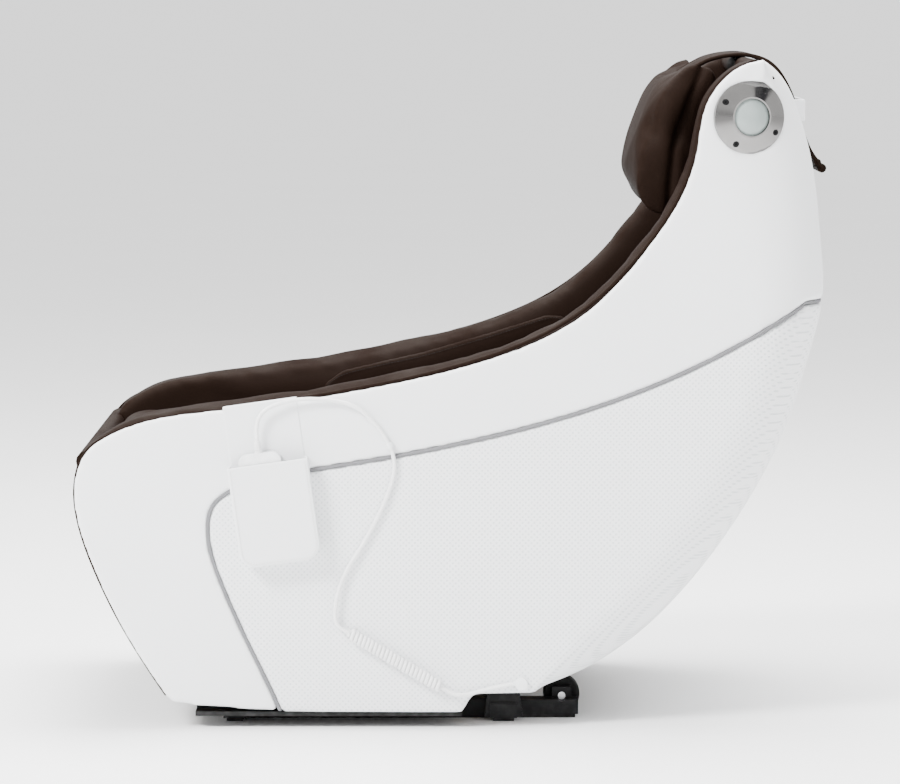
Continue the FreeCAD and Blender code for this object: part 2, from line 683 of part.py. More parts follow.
# ---------------------------------------------------------------- cord
CORD_UPPER = [(304.5, -260.0, 389.8), (304.5, -264.7, 423.8), (303, -225, 444), (300, -176, 447),
              (298, -127, 438), (297.5, -93, 403), (297, -74, 364), (297, -82, 323), (297, -111, 262),
              (298.5, -149, 205), (301, -160.5, 144.4), (301, -138, 131)]
COIL_END = (301.0, -14.0, 57.0)
CORD_LOWER = [COIL_END, (301, 8, 43.9), (299, 47, 55), (298, 82, 62)]
GLAND_AT = (298.0, 93.0, 62.0)


def cord_tube(points, diameter):
    """A tube of straight runs joined by tangent arcs. Prints the arcs' radii."""
    points = [V(*p) for p in points]
    edges, radii = [], []
    start = points[0]
    for before, corner, after in zip(points, points[1:], points[2:]):
        one, two = (before - corner), (after - corner)
        reach = 0.45 * min(one.Length, two.Length)
        one.normalize()
        two.normalize()
        half_turn = (math.pi - one.getAngle(two)) / 2
        radius = reach / math.tan(half_turn)
        radii.append(radius)
        a, b = corner + one * reach, corner + two * reach
        bisector = (one + two).normalize()
        middle = corner + bisector * (math.hypot(radius, reach) - radius)
        edges += [Part.LineSegment(start, a).toShape(), Part.Arc(a, middle, b).toShape()]
        start = b
    edges.append(Part.LineSegment(start, points[-1]).toShape())
    path = Part.Wire(edges)
    ring = Part.Wire(Part.makeCircle(diameter / 2, points[0], points[1] - points[0]))
    tube = path.makePipeShell([ring], True, False, 2)
    ratio = tube.Volume / (math.pi * diameter ** 2 / 4 * path.Length)
    print("cord length %.1f mm, volume against section times length %.3f" % (path.Length, ratio))
    print("  radii in diameters:", ", ".join("%.1f" % (r / diameter) for r in radii))
    return tube


def cord_coil():
    """The curly length as one fat tube of its outer diameter."""
    a, b = V(*CORD_UPPER[-1]), V(*COIL_END)
    return Part.makeCylinder(COIL_D / 2, (b - a).Length, a, b - a)


def cord_fittings():
    """Saddle that holds the cord against the side cover, and the elbow gland where it goes in."""
    a, b = V(*CORD_UPPER[5]), V(*CORD_UPPER[6])
    middle, along = (a + b) * 0.5, (b - a).normalize()
    saddle = Part.makeCylinder(4.8, 7, middle - along * 3.5, along)
    foot = box(COVER_X, 297.2, -4.8, 4.8, -3.5, 3.5)
    foot.rotate(V(0, 0, 0), X_AXIS, math.degrees(math.atan2(along.z, along.y)) + 90)
    foot.translate(V(0, middle.y, middle.z))
    bore = Part.makeCylinder(CORD_D / 2, 20, middle - along * 10, along)
    saddle = saddle.fuse(foot).common(box(COVER_X, 310, -200, 0, 300, 450)).cut(bore)
    x, y, z = GLAND_AT
    boss = rod(y, z, 8, COVER_X, x + 5)
    nozzle = Part.makeCylinder(4.2, y - CORD_LOWER[-1][1], V(x, CORD_LOWER[-1][1], z), V(0, 1, 0))
    return Part.makeCompound([saddle, boss.fuse(nozzle)])


# ---------------------------------------------------------------- electrics
PANEL_AT = (-190.0, 400.0, 306.0)
PANEL_TILT = -26.8
SWITCH_THROW = 16.0


def on_panel(shape):
    """Move a shape from the power panel's own frame, whose y runs out of the back cover."""
    shape.rotate(V(0, 0, 0), X_AXIS, PANEL_TILT)
    shape.translate(V(*PANEL_AT))
    return shape


def power_panel():
    """Black plate in the back cover with a rocker's cradle and a hole for the inlet."""
    body = rounded(box(-34, 34, -16, 3, -20, 20), 4, lambda e: abs(e.tangentAt(e.FirstParameter).y) > 0.99)
    body = body.cut(rod(-5, 0, 9.7, -26.2, -9.8)).cut(rod(-5, 0, 2 + RUNNING, -29.2, -6.8))
    return on_panel(body.cut(box(0, 26, -20, 5, -10, 10)))


def power_switch():
    """Rocker on two stub pins."""
    body = rod(-5, 0, 9.5, -26, -10)
    for tilt in (9, -9):
        cutter = box(-40, 0, 3.6, 20, -20, 20)
        cutter.rotate(V(0, 3.6, 0), X_AXIS, tilt)
        body = body.cut(cutter)
    body.rotate(V(0, -5, 0), X_AXIS, -SWITCH_THROW / 2)
    return on_panel(body.fuse(rod(-5, 0, 2, -29, -7)))


def power_inlet():
    """Three-blade mains inlet."""
    body = box(0, 26, -20, 3, -10, 10).cut(box(2, 24, -11, 4, -7.5, 7.5))
    for x, z in ((6, -1.5), (13, 2), (20, -1.5)):
        body = body.fuse(box(x - 1, x + 1, -12, 0, z - 2.5, z + 2.5))
    return on_panel(body)


def control_box():
    """Black electronics box that stands on the rear cross tube."""
    y, z, r = SPARE_TUBES[1]
    return rounded(box(-110, 110, y - 110, y + 12, z + r, z + r + 46), 4)


# ---------------------------------------------------------------- build
def sub_parts():
    """Every sub-part's name and the function that makes its shape."""
    parts = {"base_frame": base_frame, "floor_strip": floor_strip, "pivot_pins": pivot_pins,
             "actuator_housing": actuator_housing, "actuator_rod": actuator_rod, "cross_tubes": cross_tubes,
             "carriage_frame": carriage_frame, "drive_motors": drive_motors, "travel_shaft": travel_shaft,
             "kneading_shaft": kneading_shaft, "piping": piping, "front_panel": front_panel,
             "centre_pad": centre_pad, "underside_panel": underside_panel, "speaker_domes": speaker_domes,
             "bezel_screws": bezel_screws, "pillow": pillow, "front_strap": front_strap,
             "rear_strap": rear_strap,
             "strap_loop": strap_loop, "pocket": pocket, "remote": remote, "strain_relief": strain_relief,
             "cord_coil": cord_coil, "cord_fittings": cord_fittings,
             "power_panel": power_panel, "power_switch": power_switch, "power_inlet": power_inlet,
             "control_box": control_box}
    parts["cord_upper"] = lambda: cord_tube(CORD_UPPER, CORD_D)
    parts["cord_lower"] = lambda: cord_tube(CORD_LOWER, CORD_D)
    for name, place in BUTTONS.items():
        parts[name] = lambda place=place: button(*place)
    for side, word in ((1, "left"), (-1, "right")):
        for kind, make in (("wheel", wheel), ("side_frame", side_frame), ("guide_rail", guide_rail),
                           ("massage_arm", massage_arm), ("bolster", bolster), ("hip_pad", hip_pad),
                           ("speaker_bezel", speaker_bezel)):
            parts[kind + "_" + word] = lambda make=make, side=side: make(side)
        for end, angle in (("upper", ROLLER_OFFSET), ("lower", -ROLLER_OFFSET)):
            parts["roller_%s_%s" % (end, word)] = lambda side=side, angle=angle: massage_roller(side, angle)
            upper = end == "upper"
            parts["side_cover_%s_%s" % (end, word)] = lambda side=side, upper=upper: side_cover(side, upper)
    parts["back_cover_upper"] = lambda: back_cover(True)
    parts["back_cover_lower"] = lambda: back_cover(False)
    return parts


def main():
    """Write one STEP file for each sub-part."""
    os.makedirs("parts", exist_ok=True)
    for name, make in sub_parts().items():
        shape = make()
        if not shape.isValid():
            print("not valid:", name)
        shape.exportStep("parts/%s.step" % name)


main()
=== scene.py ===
"""Looks of a compact massage lounge chair: white padded bucket, dark seat, hanging pillow, corded remote.

All lengths are in metres in the shared frame: the sitter faces -Y, +X is the sitter's left, +Z is up.
"""

import json
import logging
import math
from dataclasses import dataclass, field
from enum import Enum
from typing import Callable, Optional, Sequence

import bmesh
import bpy
from mathutils import Matrix, Vector

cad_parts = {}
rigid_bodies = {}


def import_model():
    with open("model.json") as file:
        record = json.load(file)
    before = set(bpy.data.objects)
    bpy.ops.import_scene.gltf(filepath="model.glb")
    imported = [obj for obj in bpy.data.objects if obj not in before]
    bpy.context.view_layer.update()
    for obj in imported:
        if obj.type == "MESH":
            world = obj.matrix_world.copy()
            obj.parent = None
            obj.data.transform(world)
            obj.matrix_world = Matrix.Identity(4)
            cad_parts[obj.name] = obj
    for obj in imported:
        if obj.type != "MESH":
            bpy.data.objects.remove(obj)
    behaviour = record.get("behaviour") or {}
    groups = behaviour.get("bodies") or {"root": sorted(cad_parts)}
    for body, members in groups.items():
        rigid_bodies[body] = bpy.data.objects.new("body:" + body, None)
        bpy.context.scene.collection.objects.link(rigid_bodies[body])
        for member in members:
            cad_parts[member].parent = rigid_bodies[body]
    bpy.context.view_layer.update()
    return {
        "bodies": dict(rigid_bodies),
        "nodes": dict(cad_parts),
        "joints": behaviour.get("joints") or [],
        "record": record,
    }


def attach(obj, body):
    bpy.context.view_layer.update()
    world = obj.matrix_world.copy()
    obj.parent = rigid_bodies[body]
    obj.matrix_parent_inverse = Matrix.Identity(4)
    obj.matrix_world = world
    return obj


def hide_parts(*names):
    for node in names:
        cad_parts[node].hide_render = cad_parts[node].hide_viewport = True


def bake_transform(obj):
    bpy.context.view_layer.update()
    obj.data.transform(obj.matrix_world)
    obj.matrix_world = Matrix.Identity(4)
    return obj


log = logging.getLogger("lounge_chair")
Point = tuple[float, float, float]
Colour = tuple[float, float, float]
SIDES = {"left": 1.0, "right": -1.0}

# The seat line and the piping line of the side covers, in Y and Z.
SEAT_LINE = [(-0.482, 0.380), (-0.445, 0.401), (-0.302, 0.429), (-0.094, 0.461), (0.069, 0.503), (0.178, 0.558),
             (0.259, 0.643), (0.307, 0.717), (0.327, 0.781), (0.336, 0.830), (0.359, 0.868), (0.400, 0.892)]
FRONT_LINE = [(-0.384, 0.045), (-0.434, 0.118), (-0.4855, 0.226), (-0.5065, 0.300), (-0.5025, 0.352), (-0.484, 0.3825)]
TRACK_CENTRE = (-0.165, 0.965)
PAD_RADIUS = 0.575

WELD = 0.00002          # points closer than this are one point
STITCH_RADIUS = 0.00045
STITCH_ROUNDING = 0.00022
STITCH_LIFT = 0.0003
CLOTH_STEPS = 20
SMOOTH_ANGLE = math.radians(32)


class Smoothing(Enum):
    """How far a padded edge is rounded over, as rounds of smoothing."""

    CRISP = 2
    SOFT = 6
    PLUMP = 14


# ------------------------------------------------------------------ modelling by hand


def only(piece: bpy.types.Object) -> bpy.types.Object:
    """Select one object and make it active.

    Args:
        piece: The object.

    Returns:
        The same object.
    """
    if bpy.context.mode != "OBJECT":
        bpy.ops.object.mode_set(mode="OBJECT")
    bpy.ops.object.select_all(action="DESELECT")
    piece.hide_viewport = False
    piece.select_set(True)
    bpy.context.view_layer.objects.active = piece
    return piece


def edit_all(piece: bpy.types.Object, operation: Callable[..., object], **settings: object) -> None:
    """Run one edit-mode operation on the whole of a mesh.

    Args:
        piece: The mesh object.
        operation: The mesh operation.
        settings: The operation's own settings.
    """
    only(piece)
    bpy.ops.object.mode_set(mode="EDIT")
    bpy.ops.mesh.select_all(action="SELECT")
    operation(**settings)
    bpy.ops.object.mode_set(mode="OBJECT")


def finish_with(piece: bpy.types.Object, kind: str, **settings: object) -> bpy.types.Object:
    """Add one modifier with these settings and apply it.

    Args:
        piece: The mesh object.
        kind: The modifier's type, such as "BEVEL".
        settings: The modifier's own settings.

    Returns:
        The same object.
    """
    only(piece)
    modifier = piece.modifiers.new(kind.title(), kind)
    for name, value in settings.items():
        setattr(modifier, name, value)
    bpy.ops.object.modifier_apply(modifier=modifier.name)
    return piece


def copy_of(frame: dict, node: str, name: str) -> bpy.types.Object:
    """Copy a CAD part's mesh, welded, as the start of a new piece.

    Args:
        node: The CAD part's name.
        name: The new piece's name.

    Returns:
        The new object.
    """
    piece = bpy.data.objects.new(name, frame["nodes"][node].data.copy())
    bpy.context.scene.collection.objects.link(piece)
    edit_all(piece, bpy.ops.mesh.remove_doubles, threshold=WELD)
    return piece


def softened(piece: bpy.types.Object, voxel: float, smoothing: Smoothing) -> bpy.types.Object:
    """Turn hard CAD edges into sewn, padded ones by an even remesh and some smoothing.

    Args:
        piece: The mesh object.
        voxel: The remesh size.
        smoothing: How far the edges are rounded over.

    Returns:
        The same object.
    """
    finish_with(piece, "REMESH", mode="VOXEL", voxel_size=voxel, use_smooth_shade=True)
    finish_with(piece, "SMOOTH", factor=0.5, iterations=smoothing.value)
    return piece


def mirror_copy(piece: bpy.types.Object, name: str) -> bpy.types.Object:
    """Copy a left-hand piece to the right, with its faces still pointing outwards.

    Args:
        piece: The left-hand piece.
        name: The copy's name.

    Returns:
        The right-hand piece.
    """
    twin = piece.copy()
    twin.data = piece.data.copy()
    twin.name = name
    bpy.context.scene.collection.objects.link(twin)
    twin.data.transform(Matrix.Scale(-1.0, 4, (1, 0, 0)))
    twin.data.flip_normals()
    return twin


def round_line(name: str, points: Sequence[Point], radius: float, sides: int, steps: int) -> bpy.types.Object:
    """Make a curve object with a round section and closed ends along points.

    Args:
        name: The new object's name.
        points: The control points of its centre line.
        radius: The section's radius.
        sides: Bevel resolution of its section.
        steps: Resolution along it, for each control point.

    Returns:
        The new curve object.
    """
    curve = bpy.data.curves.new(name, "CURVE")
    curve.dimensions = "3D"
    curve.bevel_depth = radius
    curve.bevel_resolution = sides
    curve.use_fill_caps = True
    curve.resolution_u = steps
    spline = curve.splines.new("NURBS")
    spline.points.add(len(points) - 1)
    for slot, point in zip(spline.points, points):
        slot.co = (*point, 1.0)
    spline.order_u = 3
    spline.use_endpoint_u = True
    piece = bpy.data.objects.new(name, curve)
    bpy.context.scene.collection.objects.link(piece)
    return piece


def tube(name: str, points: Sequence[Point], radius: float, sides: int = 3) -> bpy.types.Object:
    """Make a smooth closed-ended tube that follows points.

    Args:
        name: The new piece's name.
        points: The control points of its centre line.
        radius: The tube's radius.
        sides: Bevel resolution of its section.

    Returns:
        The new mesh object.
    """
    only(round_line(name, points, radius, sides, 8))
    bpy.ops.object.convert(target="MESH")
    piece = bpy.context.view_layer.objects.active
    bpy.ops.object.shade_smooth()
    return piece


def ribbon(name: str, line: Sequence[Point], half_width: float, thickness: float) -> bpy.types.Object:
    """Make a flat band along points in the YZ plane, by extruding one edge from point to point.

    Args:
        name: The new piece's name.
        line: The points of its centre line, with X at 0.
        half_width: Half its width, along X.
        thickness: Its thickness.

    Returns:
        The new mesh object.
    """
    bpy.ops.object.select_all(action="DESELECT")
    bpy.ops.mesh.primitive_plane_add(size=2, location=(0, 0, 0))
    piece = bpy.context.active_object
    piece.name = name
    start = Vector(line[0])
    bpy.ops.object.mode_set(mode="EDIT")
    mesh = bmesh.from_edit_mesh(piece.data)
    bmesh.ops.delete(mesh, geom=[v for v in mesh.verts if v.co.y > 0], context="VERTS")
    for vert in mesh.verts:
        vert.co = (math.copysign(half_width, vert.co.x), start.y, start.z)
        vert.select = True
    mesh.select_flush(True)
    bmesh.update_edit_mesh(piece.data)
    bpy.ops.mesh.select_mode(type="EDGE")
    bpy.ops.mesh.select_all(action="SELECT")
    for here, there in zip(line, line[1:]):
        step = Vector(there) - Vector(here)
        bpy.ops.mesh.extrude_region_move(TRANSFORM_OT_translate={"value": step})
    bpy.ops.mesh.select_all(action="SELECT")
    bpy.ops.mesh.normals_make_consistent(inside=False)
    bpy.ops.object.mode_set(mode="OBJECT")
    finish_with(piece, "SOLIDIFY", thickness=thickness, offset=0.0, use_even_offset=True)
    finish_with(piece, "BEVEL", width=thickness * 0.3, segments=2, limit_method="ANGLE", angle_limit=0.9)
    edit_all(piece, bpy.ops.mesh.normals_make_consistent, inside=False)
    bpy.ops.object.shade_smooth_by_angle(angle=0.7)
    return piece


def joined(name: str, pieces: Sequence[bpy.types.Object]) -> bpy.types.Object:
    """Join several objects into one.

    Args:
        name: The joined object's name.
        pieces: The mesh objects. All but the first are used up.

    Returns:
        The first object, with all the meshes.
    """
    first = only(pieces[0])
    for other in pieces[1:]:
        other.select_set(True)
    bpy.ops.object.join()
    first.name = name
    return first


def even_points(line: Sequence[Point], spacing: float) -> list[tuple[Vector, Vector]]:
    """Walk a line of points in even steps.

    Args:
        line: The points of the line.
        spacing: The distance between steps.

    Returns:
        Pairs of place and direction.
    """
    steps = []
    travelled, due = 0.0, spacing / 2
    for start, end in zip(line, line[1:]):
        start, end = Vector(start), Vector(end)
        length = (end - start).length
        while due <= travelled + length:
            steps.append((start.lerp(end, (due - travelled) / length), (end - start).normalized()))
            due += spacing
        travelled += length
    return steps


def smooth_line(points: Sequence[Point], cuts: int = 12) -> list[Point]:
    """Read points along the smooth line through control points.

    Args:
        points: The control points.
        cuts: Points read for each span.

    Returns:
        The points of the smooth line.
    """
    dense = []
    padded_points = [points[0], *points, points[-1]]
    for a, b, c, d in zip(padded_points, padded_points[1:], padded_points[2:], padded_points[3:]):
        for step in range(cuts):
            t = step / cuts
            weights = (-t + 2 * t**2 - t**3, 2 - 5 * t**2 + 3 * t**3, t + 4 * t**2 - 3 * t**3, t**3 - t**2)
            dense.append(tuple(sum(w * p[i] for w, p in zip(weights, (a, b, c, d))) / 2 for i in range(3)))
    dense.append(tuple(points[-1]))
    return dense


def stitches(name: str, line: Sequence[Point], outward: Point, pitch: float = 0.0042) -> bpy.types.Object:
    """Sew a row of short raised stitches along a line.

    Args:
        name: The new piece's name.
        line: The points that the seam follows.
        outward: The direction that the stitches stand out in.
        pitch: The distance from stitch to stitch.

    Returns:
        The new mesh object.
    """
    bpy.ops.object.select_all(action="DESELECT")
    bpy.ops.mesh.primitive_cylinder_add(vertices=6, radius=STITCH_RADIUS, depth=pitch * 0.62, location=(0, 0, 0))
    pattern = finish_with(bpy.context.active_object, "BEVEL", width=STITCH_ROUNDING, segments=1)
    mesh = bmesh.new()
    for place, direction in even_points(line, pitch):
        turn = direction.to_track_quat("Z", "X").to_matrix().to_4x4()
        start = len(mesh.verts)
        mesh.from_mesh(pattern.data)
        mesh.verts.ensure_lookup_table()
        shift = Matrix.Translation(place + Vector(outward) * STITCH_LIFT) @ turn
        for vert in mesh.verts[start:]:
            vert.co = shift @ vert.co
    data = bpy.data.meshes.new(name)
    mesh.to_mesh(data)
    mesh.free()
    bpy.data.objects.remove(pattern)
    piece = bpy.data.objects.new(name, data)
    bpy.context.scene.collection.objects.link(piece)
    only(piece)
    bpy.ops.object.shade_smooth()
    return piece


def inflated(piece: bpy.types.Object, cap: float, held: Callable[[Vector], bool], voxel: float = 0.006,
             pressure: float = 4.0) -> bpy.types.Object:
    """Blow a pad up like sewn cloth over foam, and keep its underside where it rests.

    Args:
        piece: The pad's closed start shape, a little smaller than the pad.
        cap: The furthest that any point may move.
        held: Whether a point is on the side that rests on the frame.
        voxel: The remesh size.
        pressure: The cloth's inner pressure.

    Returns:
        The same object, inflated and subdivided.
    """
    softened(piece, voxel, Smoothing.CRISP)
    start = [vert.co.copy() for vert in piece.data.vertices]
    pins = piece.vertex_groups.new(name="held")
    pins.add([i for i, co in enumerate(start) if held(co)], 1.0, "REPLACE")
    only(piece)
    cloth = piece.modifiers.new("Cloth", "CLOTH")
    cloth.settings.quality = 4
    cloth.settings.mass = 0.25
    cloth.settings.tension_stiffness = 12
    cloth.settings.compression_stiffness = 12
    cloth.settings.bending_stiffness = 0.8
    cloth.settings.vertex_group_mass = "held"
    cloth.settings.use_pressure = True
    cloth.settings.uniform_pressure_force = pressure
    cloth.settings.effector_weights.gravity = 0
    cloth.collision_settings.use_collision = False
    cloth.point_cache.frame_start, cloth.point_cache.frame_end = 1, CLOTH_STEPS
    for number in range(1, CLOTH_STEPS + 1):
        bpy.context.scene.frame_set(number)
    shaped = piece.evaluated_get(bpy.context.evaluated_depsgraph_get())
    moved = [vert.co.copy() for vert in shaped.data.vertices]
    piece.modifiers.remove(cloth)
    for vert, before, after in zip(piece.data.vertices, start, moved):
        move = after - before
        if move.length > cap:
            move *= cap / move.length
        vert.co = before + move
    bpy.context.scene.frame_set(1)
    finish_with(piece, "SMOOTH", factor=0.5, iterations=3)
    finish_with(piece, "SUBSURF", levels=1, render_levels=1)
    return piece


def pressed(piece: bpy.types.Object, depth_at: Callable[[Vector, Vector], float]) -> bpy.types.Object:
    """Push a piece's surface in along its normals, for seams, channels and soft wrinkles.

    Args:
        piece: The mesh object.
        depth_at: The depth at a point with that normal. A negative depth stands proud.

    Returns:
        The same object.
    """
    moves = [(vert, vert.normal * -depth_at(vert.co, vert.normal)) for vert in piece.data.vertices]
    for vert, move in moves:
        vert.co += move
    return piece


def groove(distance: float, width: float) -> float:
    """The depth, from 0 to 1, of a rounded groove at that distance from its middle."""
    return math.exp(-((distance / width) ** 2))


# ------------------------------------------------------------------ finishes


class Sketch:
    """A node tree being written, with short calls for its nodes and links."""

    def __init__(self, tree: bpy.types.NodeTree) -> None:
        """Start on a node tree."""
        self.tree = tree

    def node(self, kind: str, **settings: object) -> bpy.types.Node:
        """Add a node. A setting is a property, or an input by its name with spaces as underscores.

        Args:
            kind: The node's type after "ShaderNode".
            settings: Properties and inputs. An input takes a value or another node's output.

        Returns:
            The new node.
        """
        made = self.tree.nodes.new("ShaderNode" + kind)
        for name, value in settings.items():
            if name.startswith("in_"):
                self.feed(made, name[3:].replace("_", " "), value)
            elif name.startswith("at_"):
                self.feed(made, int(name[3:]), value)
            else:
                setattr(made, name, value)
        return made

    def feed(self, node: bpy.types.Node, key: object, value: object) -> None:
        """Link an output to a node's input, or set the input's value.

        Args:
            node: The node.
            key: The input's name or number.
            value: Another node's output, or a constant.
        """
        if isinstance(value, bpy.types.NodeSocket):
            self.tree.links.new(value, node.inputs[key])
        else:
            node.inputs[key].default_value = value

    def maths(self, operation: str, *values: object) -> bpy.types.NodeSocket:
        """Add a Math node.

        Args:
            operation: The node's operation.
            values: One to three outputs or constants.

        Returns:
            The result.
        """
        made = self.node("Math", operation=operation)
        for index, value in enumerate(values):
            self.feed(made, index, value)
        return made.outputs[0]

    def ramp(self, value: bpy.types.NodeSocket, low: float, high: float) -> bpy.types.NodeSocket:
        """Map low to 0 and high to 1, held at both ends.

        Args:
            value: The output to map.
            low: What becomes 0.
            high: What becomes 1.

        Returns:
            The mapped value.
        """
        made = self.node("MapRange", clamp=True)
        self.feed(made, 0, value)
        self.feed(made, 1, low)
        self.feed(made, 2, high)
        return made.outputs[0]

    def blend(self, factor: object, first: object, second: object) -> bpy.types.NodeSocket:
        """Mix two colours.

        Args:
            factor: How much of the second colour shows.
            first: The colour at 0.
            second: The colour at 1.

        Returns:
            The mixed colour.
        """
        made = self.node("Mix", data_type="RGBA")
        for index, value in ((0, factor), (6, first), (7, second)):
            if isinstance(value, tuple) and len(value) == 3:
                value = (*value, 1.0)
            self.feed(made, index, value)
        return made.outputs[2]

    def place(self) -> bpy.types.NodeSocket:
        """The object's own coordinates."""
        return self.node("TexCoord").outputs["Object"]

    def noise(self, place: bpy.types.NodeSocket, scale: object, detail: float, **more: float) -> bpy.types.NodeSocket:
        """Add a noise texture.

        Args:
            place: The coordinates.
            scale: Its scale, as a number or an output.
            detail: Its octaves.
            more: Other inputs, as in_Name.

        Returns:
            Its value.
        """
        return self.node("TexNoise", in_Vector=place, in_Scale=scale, in_Detail=detail, **more).outputs["Fac"]


def effect(name: str, inputs: dict[str, float], outputs: dict[str, str],
           draw: Callable[[Sketch, bpy.types.Node, bpy.types.Node], None]) -> bpy.types.NodeTree:
    """Make a shared effect once, as a node group.

    Args:
        name: The group's name.
        inputs: Number inputs and their defaults.
        outputs: Output names and "Float" or "Color".
        draw: Writes the group's nodes, given the sketch and its input and output nodes.

    Returns:
        The node group.
    """
    group = bpy.data.node_groups.get(name)
    if group:
        return group
    group = bpy.data.node_groups.new(name, "ShaderNodeTree")
    for label, default in inputs.items():
        made = group.interface.new_socket(label, in_out="INPUT", socket_type="NodeSocketFloat")
        made.default_value = default
    for label, kind in outputs.items():
        group.interface.new_socket(label, in_out="OUTPUT", socket_type="NodeSocket" + kind)
    draw(Sketch(group), group.nodes.new("NodeGroupInput"), group.nodes.new("NodeGroupOutput"))
    return group


def leather_grain() -> bpy.types.NodeTree:
    """Pebbled grain with fine pores and slow creases.

    Returns:
        The node group, with outputs Height and Crease.
    """

    def draw(sketch: Sketch, given: bpy.types.Node, result: bpy.types.Node) -> None:
        """Write the grain's nodes.

        Args:
            sketch: The group's sketch.
            given: Its input node.
            result: Its output node.
        """
        place = sketch.place()
        pebble = sketch.node("TexVoronoi", feature="DISTANCE_TO_EDGE", in_Vector=place,
                             in_Scale=given.outputs["Pebbles"])
        pores = sketch.noise(place, 1800.0, 3.0)
        slow = sketch.noise(place, given.outputs["Creases"], 4.0,
                           in_Roughness=0.45, in_Distortion=0.6)
        edge = sketch.ramp(pebble.outputs["Distance"], 0.0, 0.28)
        fine = sketch.maths("MULTIPLY", pores, 0.35)
        sketch.feed(result, "Height", sketch.maths("ADD", edge, fine))
        sketch.feed(result, "Crease", slow)

    return effect("leather_grain", {"Pebbles": 620.0, "Creases": 9.0}, {"Height": "Float", "Crease": "Float"}, draw)


def diamond_mesh() -> bpy.types.NodeTree:
    """A perforated diamond weave, with a mask of its recessed holes where the cloth paints shade.

    Returns:
        The node group, with outputs Height and Hole.
    """

    def draw(sketch: Sketch, given: bpy.types.Node, result: bpy.types.Node) -> None:
        """Write the weave's nodes.

        Args:
            sketch: The group's sketch.
            given: Its input node.
            result: Its output node.
        """
        parts = sketch.node("SeparateXYZ", in_Vector=sketch.place())
        across = sketch.maths("ADD", parts.outputs["X"], parts.outputs["Y"])
        turns = sketch.maths("DIVIDE", 2 * math.pi, given.outputs["Pitch"])
        one = sketch.maths("SINE", sketch.maths("MULTIPLY", across, turns))
        two = sketch.maths("SINE", sketch.maths("MULTIPLY", parts.outputs["Z"], turns))
        lattice = sketch.maths("MULTIPLY", one, two)
        hole = sketch.ramp(lattice, 0.35, 0.8)
        yarn = sketch.noise(sketch.place(), 900.0, 2.0)
        raised = sketch.maths("SUBTRACT", sketch.maths("MULTIPLY", yarn, 0.3), hole)
        sketch.feed(result, "Height", raised)
        sketch.feed(result, "Hole", hole)

    return effect("diamond_mesh", {"Pitch": 0.0058}, {"Height": "Float", "Hole": "Float"}, draw)


def edge_wear() -> bpy.types.NodeTree:
    """A broken mask along convex edges.

    Returns:
        The node group, with output Mask.
    """

    def draw(sketch: Sketch, given: bpy.types.Node, result: bpy.types.Node) -> None:
        """Write the mask's nodes.

        Args:
            sketch: The group's sketch.
            given: Its input node.
            result: Its output node.
        """
        bend = sketch.ramp(sketch.node("NewGeometry").outputs["Pointiness"], 0.52, 0.60)
        place = sketch.place()
        patches = sketch.noise(place, 90.0, 5.0)
        broken = sketch.ramp(patches, 0.42, 0.62)
        worn = sketch.maths("MULTIPLY", bend, broken)
        sketch.feed(result, "Mask", sketch.maths("MULTIPLY", worn, given.outputs["Amount"]))

    return effect("edge_wear", {"Amount": 1.0}, {"Mask": "Float"}, draw)


def dust() -> bpy.types.NodeTree:
    """A thin, patchy film on what faces up.

    Returns:
        The node group, with output Mask.
    """

    def draw(sketch: Sketch, given: bpy.types.Node, result: bpy.types.Node) -> None:
        """Write the mask's nodes.

        Args:
            sketch: The group's sketch.
            given: Its input node.
            result: Its output node.
        """
        facing = sketch.node("SeparateXYZ", in_Vector=sketch.node("NewGeometry").outputs["Normal"]).outputs["Z"]
        place = sketch.place()
        patches = sketch.noise(place, 14.0, 6.0)
        film = sketch.maths("MULTIPLY", sketch.ramp(facing, 0.2, 1.0), sketch.ramp(patches, 0.35, 0.75))
        sketch.feed(result, "Mask", sketch.maths("MULTIPLY", film, given.outputs["Amount"]))

    return effect("dust", {"Amount": 0.3}, {"Mask": "Float"}, draw)


def placed(sketch: Sketch, group: bpy.types.NodeTree, **values: float) -> bpy.types.Node:
    """Place a shared effect in a material.

    Args:
        sketch: The material's sketch.
        group: The effect.
        values: The effect's inputs here.

    Returns:
        The group node.
    """
    made = sketch.node("Group", node_tree=group)
    for name, value in values.items():
        made.inputs[name].default_value = value
    return made


def new_surface(name: str, **constants: object) -> tuple[bpy.types.Material, Sketch, bpy.types.Node]:
    """Start a material with a Principled surface.

    Args:
        name: The material's name.
        constants: Inputs that are the same all over, with spaces as underscores.

    Returns:
        The material, a sketch of its tree and its shader node.
    """
    material = bpy.data.materials.new(name)
    material.use_nodes = True
    shader = material.node_tree.nodes["Principled BSDF"]
    for label, value in constants.items():
        shader.inputs[label.replace("_", " ")].default_value = value
    return material, Sketch(material.node_tree), shader


def bumped(sketch: Sketch, shader: bpy.types.Node, height: object, distance: float, strength: float = 1.0,
           under: Optional[bpy.types.NodeSocket] = None) -> bpy.types.NodeSocket:
    """Feed a height to the shader's normal through a Bump node.

    Args:
        sketch: The material's sketch.
        shader: The shader node.
        height: The height's output.
        distance: The height in metres of a value of 1.
        strength: How strongly it shows.
        under: Another bump's normal, to lie over.

    Returns:
        The bumped normal.
    """
    bump = sketch.node("Bump", in_Height=height, in_Distance=distance, in_Strength=strength)
    if under:
        sketch.feed(bump, "Normal", under)
    sketch.feed(shader, "Normal", bump.outputs["Normal"])
    return bump.outputs["Normal"]


